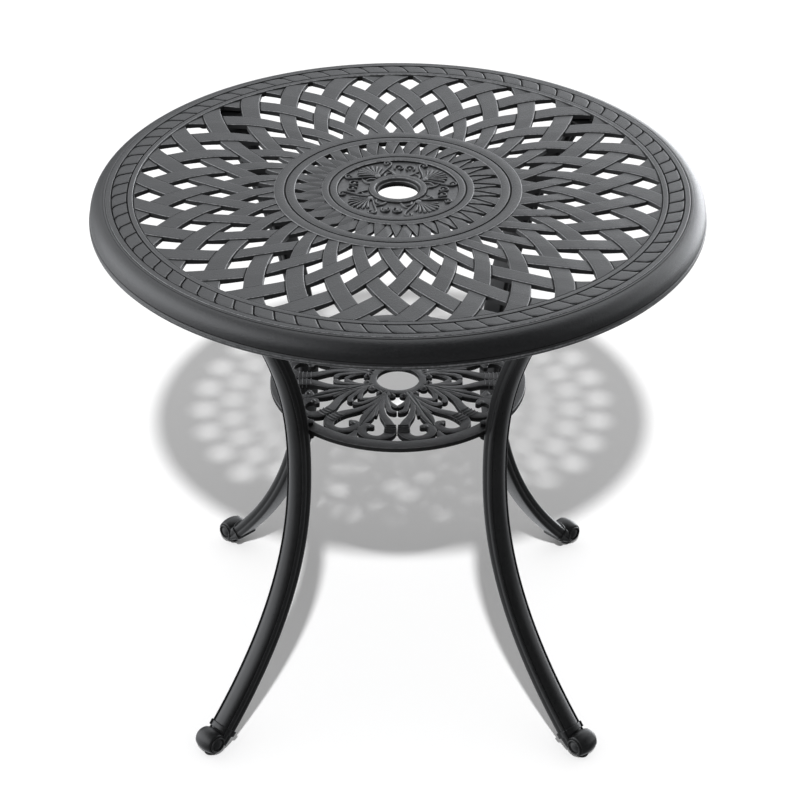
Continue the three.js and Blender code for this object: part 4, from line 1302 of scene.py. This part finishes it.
@dataclass
class Fixings:
    """Bolts, washers, nuts and levelling glides."""

    top_bolt: float = 341.0
    top_side: float = 28.0
    shelf_bolt: float = 158.0
    foot: float = 347.5

    def hexagon(self, flats: float, base: float, height: float, bore: float = 0.0) -> Skin:
        """Makes a hexagon head or nut with both faces turned down at the corners.

        The radius is the hexagon's own, held under a cone that starts at 0.93 of the flats.

        Args:
            flats: size over the flats.
            base: height of its lower face.
            height: how thick it is.
            bore: radius of its hole, or 0 for a solid head.

        Returns:
            The closed head or nut.
        """
        turn = full_turn(72)
        level = np.array([0, 0, 0.25, 0.6, 1, height - 1, height - 0.6, height - 0.25, height, height])[:, None]
        cone = flats / 2 * 0.93 + 1.75 * np.minimum(level, height - level)
        nearest = (turn + pi / 6) % (pi / 3) - pi / 6
        radius = np.minimum(flats / 2 / np.cos(nearest), cone)
        radius[[0, -1]] = bore or 0.2
        edge = np.array([0, 0.8, 0.8, 0.4, 0, 0, 0.4, 0.8, 0.8, 0])[:, None]
        return grid_skin(polar(radius, turn, base + level), bore > 0, 0.0, edge)

    def thread(self, radius: float, low: float, high: float, pitch: float) -> Skin:
        """Makes a threaded rod: r = R - depth times a triangle wave of height / pitch less turn.

        Args:
            radius: outer radius.
            low: height of its lower end.
            high: height of its upper end.
            pitch: height of one turn.

        Returns:
            The closed rod.
        """
        z = np.linspace(low, high, max(12, int((high - low) / pitch * 6)))[:, None]
        turn = full_turn(24)
        wave = np.abs(((z / pitch - turn / (2 * pi)) % 1) * 2 - 1)
        fade = np.clip((high - z) / 1.2, 0, 1) * np.clip((z - low) / 0.8, 0, 1)
        r = radius - 0.55 * pitch * (1 - wave) - (1 - fade) * 0.5 * wave
        # Painted shade in the thread's roots, and its crests painted lighter.
        return grid_skin(polar(r, turn, z), False, 0.6 * (1 - wave), 0.5 * wave)

    def washer(self, inner: float, outer: float, base: float, thick: float) -> Skin:
        """Makes a flat washer with eased edges.

        Args:
            inner: radius of its hole.
            outer: outer radius.
            base: height of its lower face.
            thick: how thick it is.

        Returns:
            The closed washer.
        """
        top = base + thick
        outline = [[inner, base + 0.2], [inner + 0.2, base], [outer - 0.3, base], [outer, base + 0.3],
                   [outer, top - 0.3], [outer - 0.3, top], [inner + 0.2, top], [inner, top - 0.2]]
        return revolved(outline, 40, 0.0, marks(8, {2: [0.8] * 4}))

    def glide_cup(self) -> Skin:
        """Makes the moulded base of a levelling glide.

        Returns:
            The closed base.
        """
        outline = [[0.1, 0], [6.8, 0], [7.6, 0.15], [8.2, 0.6], [8.5, 1.2], [8.5, 2.3], [8.2, 3.0], [7.5, 3.4],
                   [5.4, 3.4], [5.0, 3.1], [4.6, 3.1], [4.3, 3.4], [3.5, 3.4], [3.3, 3.2], [3.3, 1.1], [0.1, 1.1]]
        # Painted shade in the rings' hollows; the rounded rim is painted lighter, as rubbing and painted highlight.
        groove = marks(16, {9: [0.6, 0.6], 14: [0.8, 0.8]})
        edge = marks(16, {2: [0.5, 0.8, 0.3, 0.3, 0.8, 0.5]})
        return revolved(outline, 48, groove, edge, solid=True)

    def place(
        self, label: str, node: str, leg: str, skin: Skin, finish: Finish, x: float, y: float = 0.0,
        body: str = "frame", sharp: float = 30.0,
    ) -> None:
        """Stands one fixing at a leg.

        Args:
            label: the piece's name without its leg.
            node: its CAD node's name without its leg.
            leg: letter of the leg, and the number of the place there if it has more than one.
            skin: its surface about the Z axis.
            finish: what it is coated with.
            x: distance out along the leg's line.
            y: distance aside.
            body: the body it moves with.
            sharp: edges steeper than this many degrees stay sharp.
        """
        stood = skin.moved(x, y).turned(LEG_ANGLES[leg[0]])
        add_piece(f"{label}_{leg}", stood, finish, f"{node}_{leg}", body=body, sharp=sharp)

    def build(self) -> None:
        """Builds and dresses every fixing where its CAD node stands."""
        bolt = joined([self.hexagon(13.0, 688.6, 5.3), self.washer(0.2, 5.9, 693.6, 0.3),
                       self.thread(4.0, 693.5, 709.0, 1.25)])
        washer = self.washer(4.5, 8.0, 694.2, 1.6)
        head = joined([self.hexagon(10.0, 431.3, 4.0), self.thread(3.0, 408.8, 431.5, 1.0)])
        nut = self.hexagon(10.0, 410.9, 5.0, 3.3)
        cup, stud = self.glide_cup(), self.thread(3.0, 1.4, 21.4, 1.0)
        for leg in LEG_ANGLES:
            for number, y in ((1, -self.top_side), (2, self.top_side)):
                self.place("flange_washer", "top_washer", f"{leg}{number}", washer, ZINC, self.top_bolt, y)
                self.place("flange_bolt", "top_bolt", f"{leg}{number}", bolt, BLACK_STEEL, self.top_bolt, y)
            self.place("lug_bolt", "shelf_bolt", leg, head, BLACK_STEEL, self.shelf_bolt)
            self.place("lug_nut", "shelf_nut", leg, nut, BLACK_STEEL, self.shelf_bolt)
            self.place("glide_cup", "glide_base", leg, cup, NYLON, self.foot, body=f"glide_{leg}", sharp=35)
            self.place("glide_screw", "glide_stud", leg, stud, ZINC, self.foot, body=f"glide_{leg}")


# ---------------------------------------------------------------- studio


@dataclass
class Studio:
    """Floor, light and camera."""

    floor_half: float = 14.0
    key_strength: float = 2.75
    key_elevation: float = 48.7
    key_angle: float = 2.3
    fill: float = 0.5
    backdrop: float = 1.32
    softbox: float = 4.2
    window: float = 1.3
    focal_pixels: float = 2710.5
    camera_place: tuple[float, float, float] = (0.0297, -3.0425, 2.3025)
    camera_down: float = 32.04754
    camera_turn: float = 0.56

    def floor(self) -> None:
        """Lays the plain pale floor, a disc with its middle at the origin."""
        segments = 96
        reach = np.array([1.0, 3.0, self.floor_half])[:, None] / MM
        disc = grid_skin(polar(reach, full_turn(segments), 0.0), False)
        item = bare_object("studio_floor", replace(disc, tris=disc.tris[:segments]))
        made = bpy.data.materials.new("studio_floor")
        wire = fresh(made)
        paint = wire.node("BsdfDiffuse", Color=(0.97, 0.97, 0.972), Roughness=0.0)
        wire.node("OutputMaterial", Surface=paint.outputs[0])
        item.data.materials.append(made)
        item.visible_glossy = False

    def world(self) -> None:
        """Fills the room with soft light.

        The camera sees plain white. Gloss sees a white room with a dark space above and behind the
        camera, a dim ceiling, a floor that is dark in front and grey behind and on the left, a gap
        low at the back on the left, a bright softbox on the right and a weaker one on the left. The
        rest of the light is an even grey.
        """
        room = bpy.data.worlds.new("studio_room")
        bpy.context.scene.world = room
        wire = fresh(room)
        way = wire.node("TexCoord").outputs["Generated"]
        parts = wire.node("SeparateXYZ", i0=way).outputs

        def patch(azimuth: float, elevation: float, *limits: float) -> Socket:
            """Ramps the cosine of the angle between a ray and a direction in the room.

            Args:
                azimuth: the direction's angle from +X in degrees.
                elevation: its angle above the floor in degrees.
                limits: the cosines between which the ramp runs, and its values there.

            Returns:
                The ramp's value.
            """
            a, e = radians(azimuth), radians(elevation)
            aim = (cos(a) * cos(e), sin(a) * cos(e), sin(e))
            facing = wire.node("VectorMath", {"operation": "DOT_PRODUCT"}, i0=way, i1=aim)
            return wire.ramp(facing.outputs["Value"], *limits)

        height = wire.plus(parts[2], wire.times(parts[1], 0.35))
        low = wire.maths("MAXIMUM", wire.ramp(height, -0.15, 0.12, 0.06), wire.ramp(parts[1], 0.08, 0.45, 0.06, 0.4))
        walls = wire.times(patch(-62.0, 42.0, 0.42, 0.76, self.backdrop, 0.03), low)
        walls = wire.times(walls, patch(113.0, -2.0, 0.86, 0.97, 1.0, 0.25))
        walls = wire.times(walls, patch(164.0, 68.0, 0.86, 0.985, 1.0, 0.35))
        walls = wire.plus(walls, patch(150.0, -55.0, 0.5, 0.9, 0.0, 0.42))
        walls = wire.plus(walls, patch(178.0, 14.0, 0.6, 0.95, 0.0, self.window))
        level = wire.plus(walls, patch(58.0, 0.0, 0.88, 0.985, 0.0, self.softbox))
        shown, gloss, light = (
            wire.node("Background", Color=colour, Strength=strength).outputs[0]
            for colour, strength in (((1, 1, 1), 1.0), ((0.945, 0.966, 1), level), ((1, 1, 1), self.fill)))
        path = wire.node("LightPath").outputs
        seen = wire.maths("MAXIMUM", path["Is Camera Ray"], path["Is Transmission Ray"])
        first = wire.node("MixShader", i0=path["Is Glossy Ray"], i1=light, i2=gloss).outputs[0]
        last = wire.node("MixShader", i0=seen, i1=first, i2=shown).outputs[0]
        wire.node("OutputWorld", Surface=last)

    def key(self) -> None:
        """Hangs the key light in front, high up, so the top's shadow falls behind the legs."""
        data = bpy.data.lights.new("key", "SUN")
        data.energy, data.angle = self.key_strength, radians(self.key_angle)
        item = linked("key", data)
        item.rotation_euler = (radians(90 - self.key_elevation), 0, 0)
        item.visible_glossy = False

    def camera(self) -> None:
        """Sets the camera where the photograph was taken from."""
        data = bpy.data.cameras.new("camera")
        data.sensor_width, data.sensor_fit = 36.0, "HORIZONTAL"
        data.lens = self.focal_pixels / 800.0 * 36.0
        data.shift_x, data.clip_end = 0.0026, 60.0
        item = linked("camera", data)
        item.location = self.camera_place
        item.rotation_euler = (radians(90 - self.camera_down), 0, radians(self.camera_turn))
        bpy.context.scene.camera = item

    def build(self) -> None:
        """Sets up the whole studio."""
        self.floor()
        self.world()
        self.key()
        self.camera()
        bpy.context.scene.view_settings.view_transform = "Standard"


def main() -> None:
    """Builds the table, then its studio."""
    logging.basicConfig(level=logging.INFO, format="%(message)s")
    for part in (TableTop(), LowerShelf(), Leg(), Fixings(), Studio()):
        part.build()


if __name__ == "__main__":
    main()
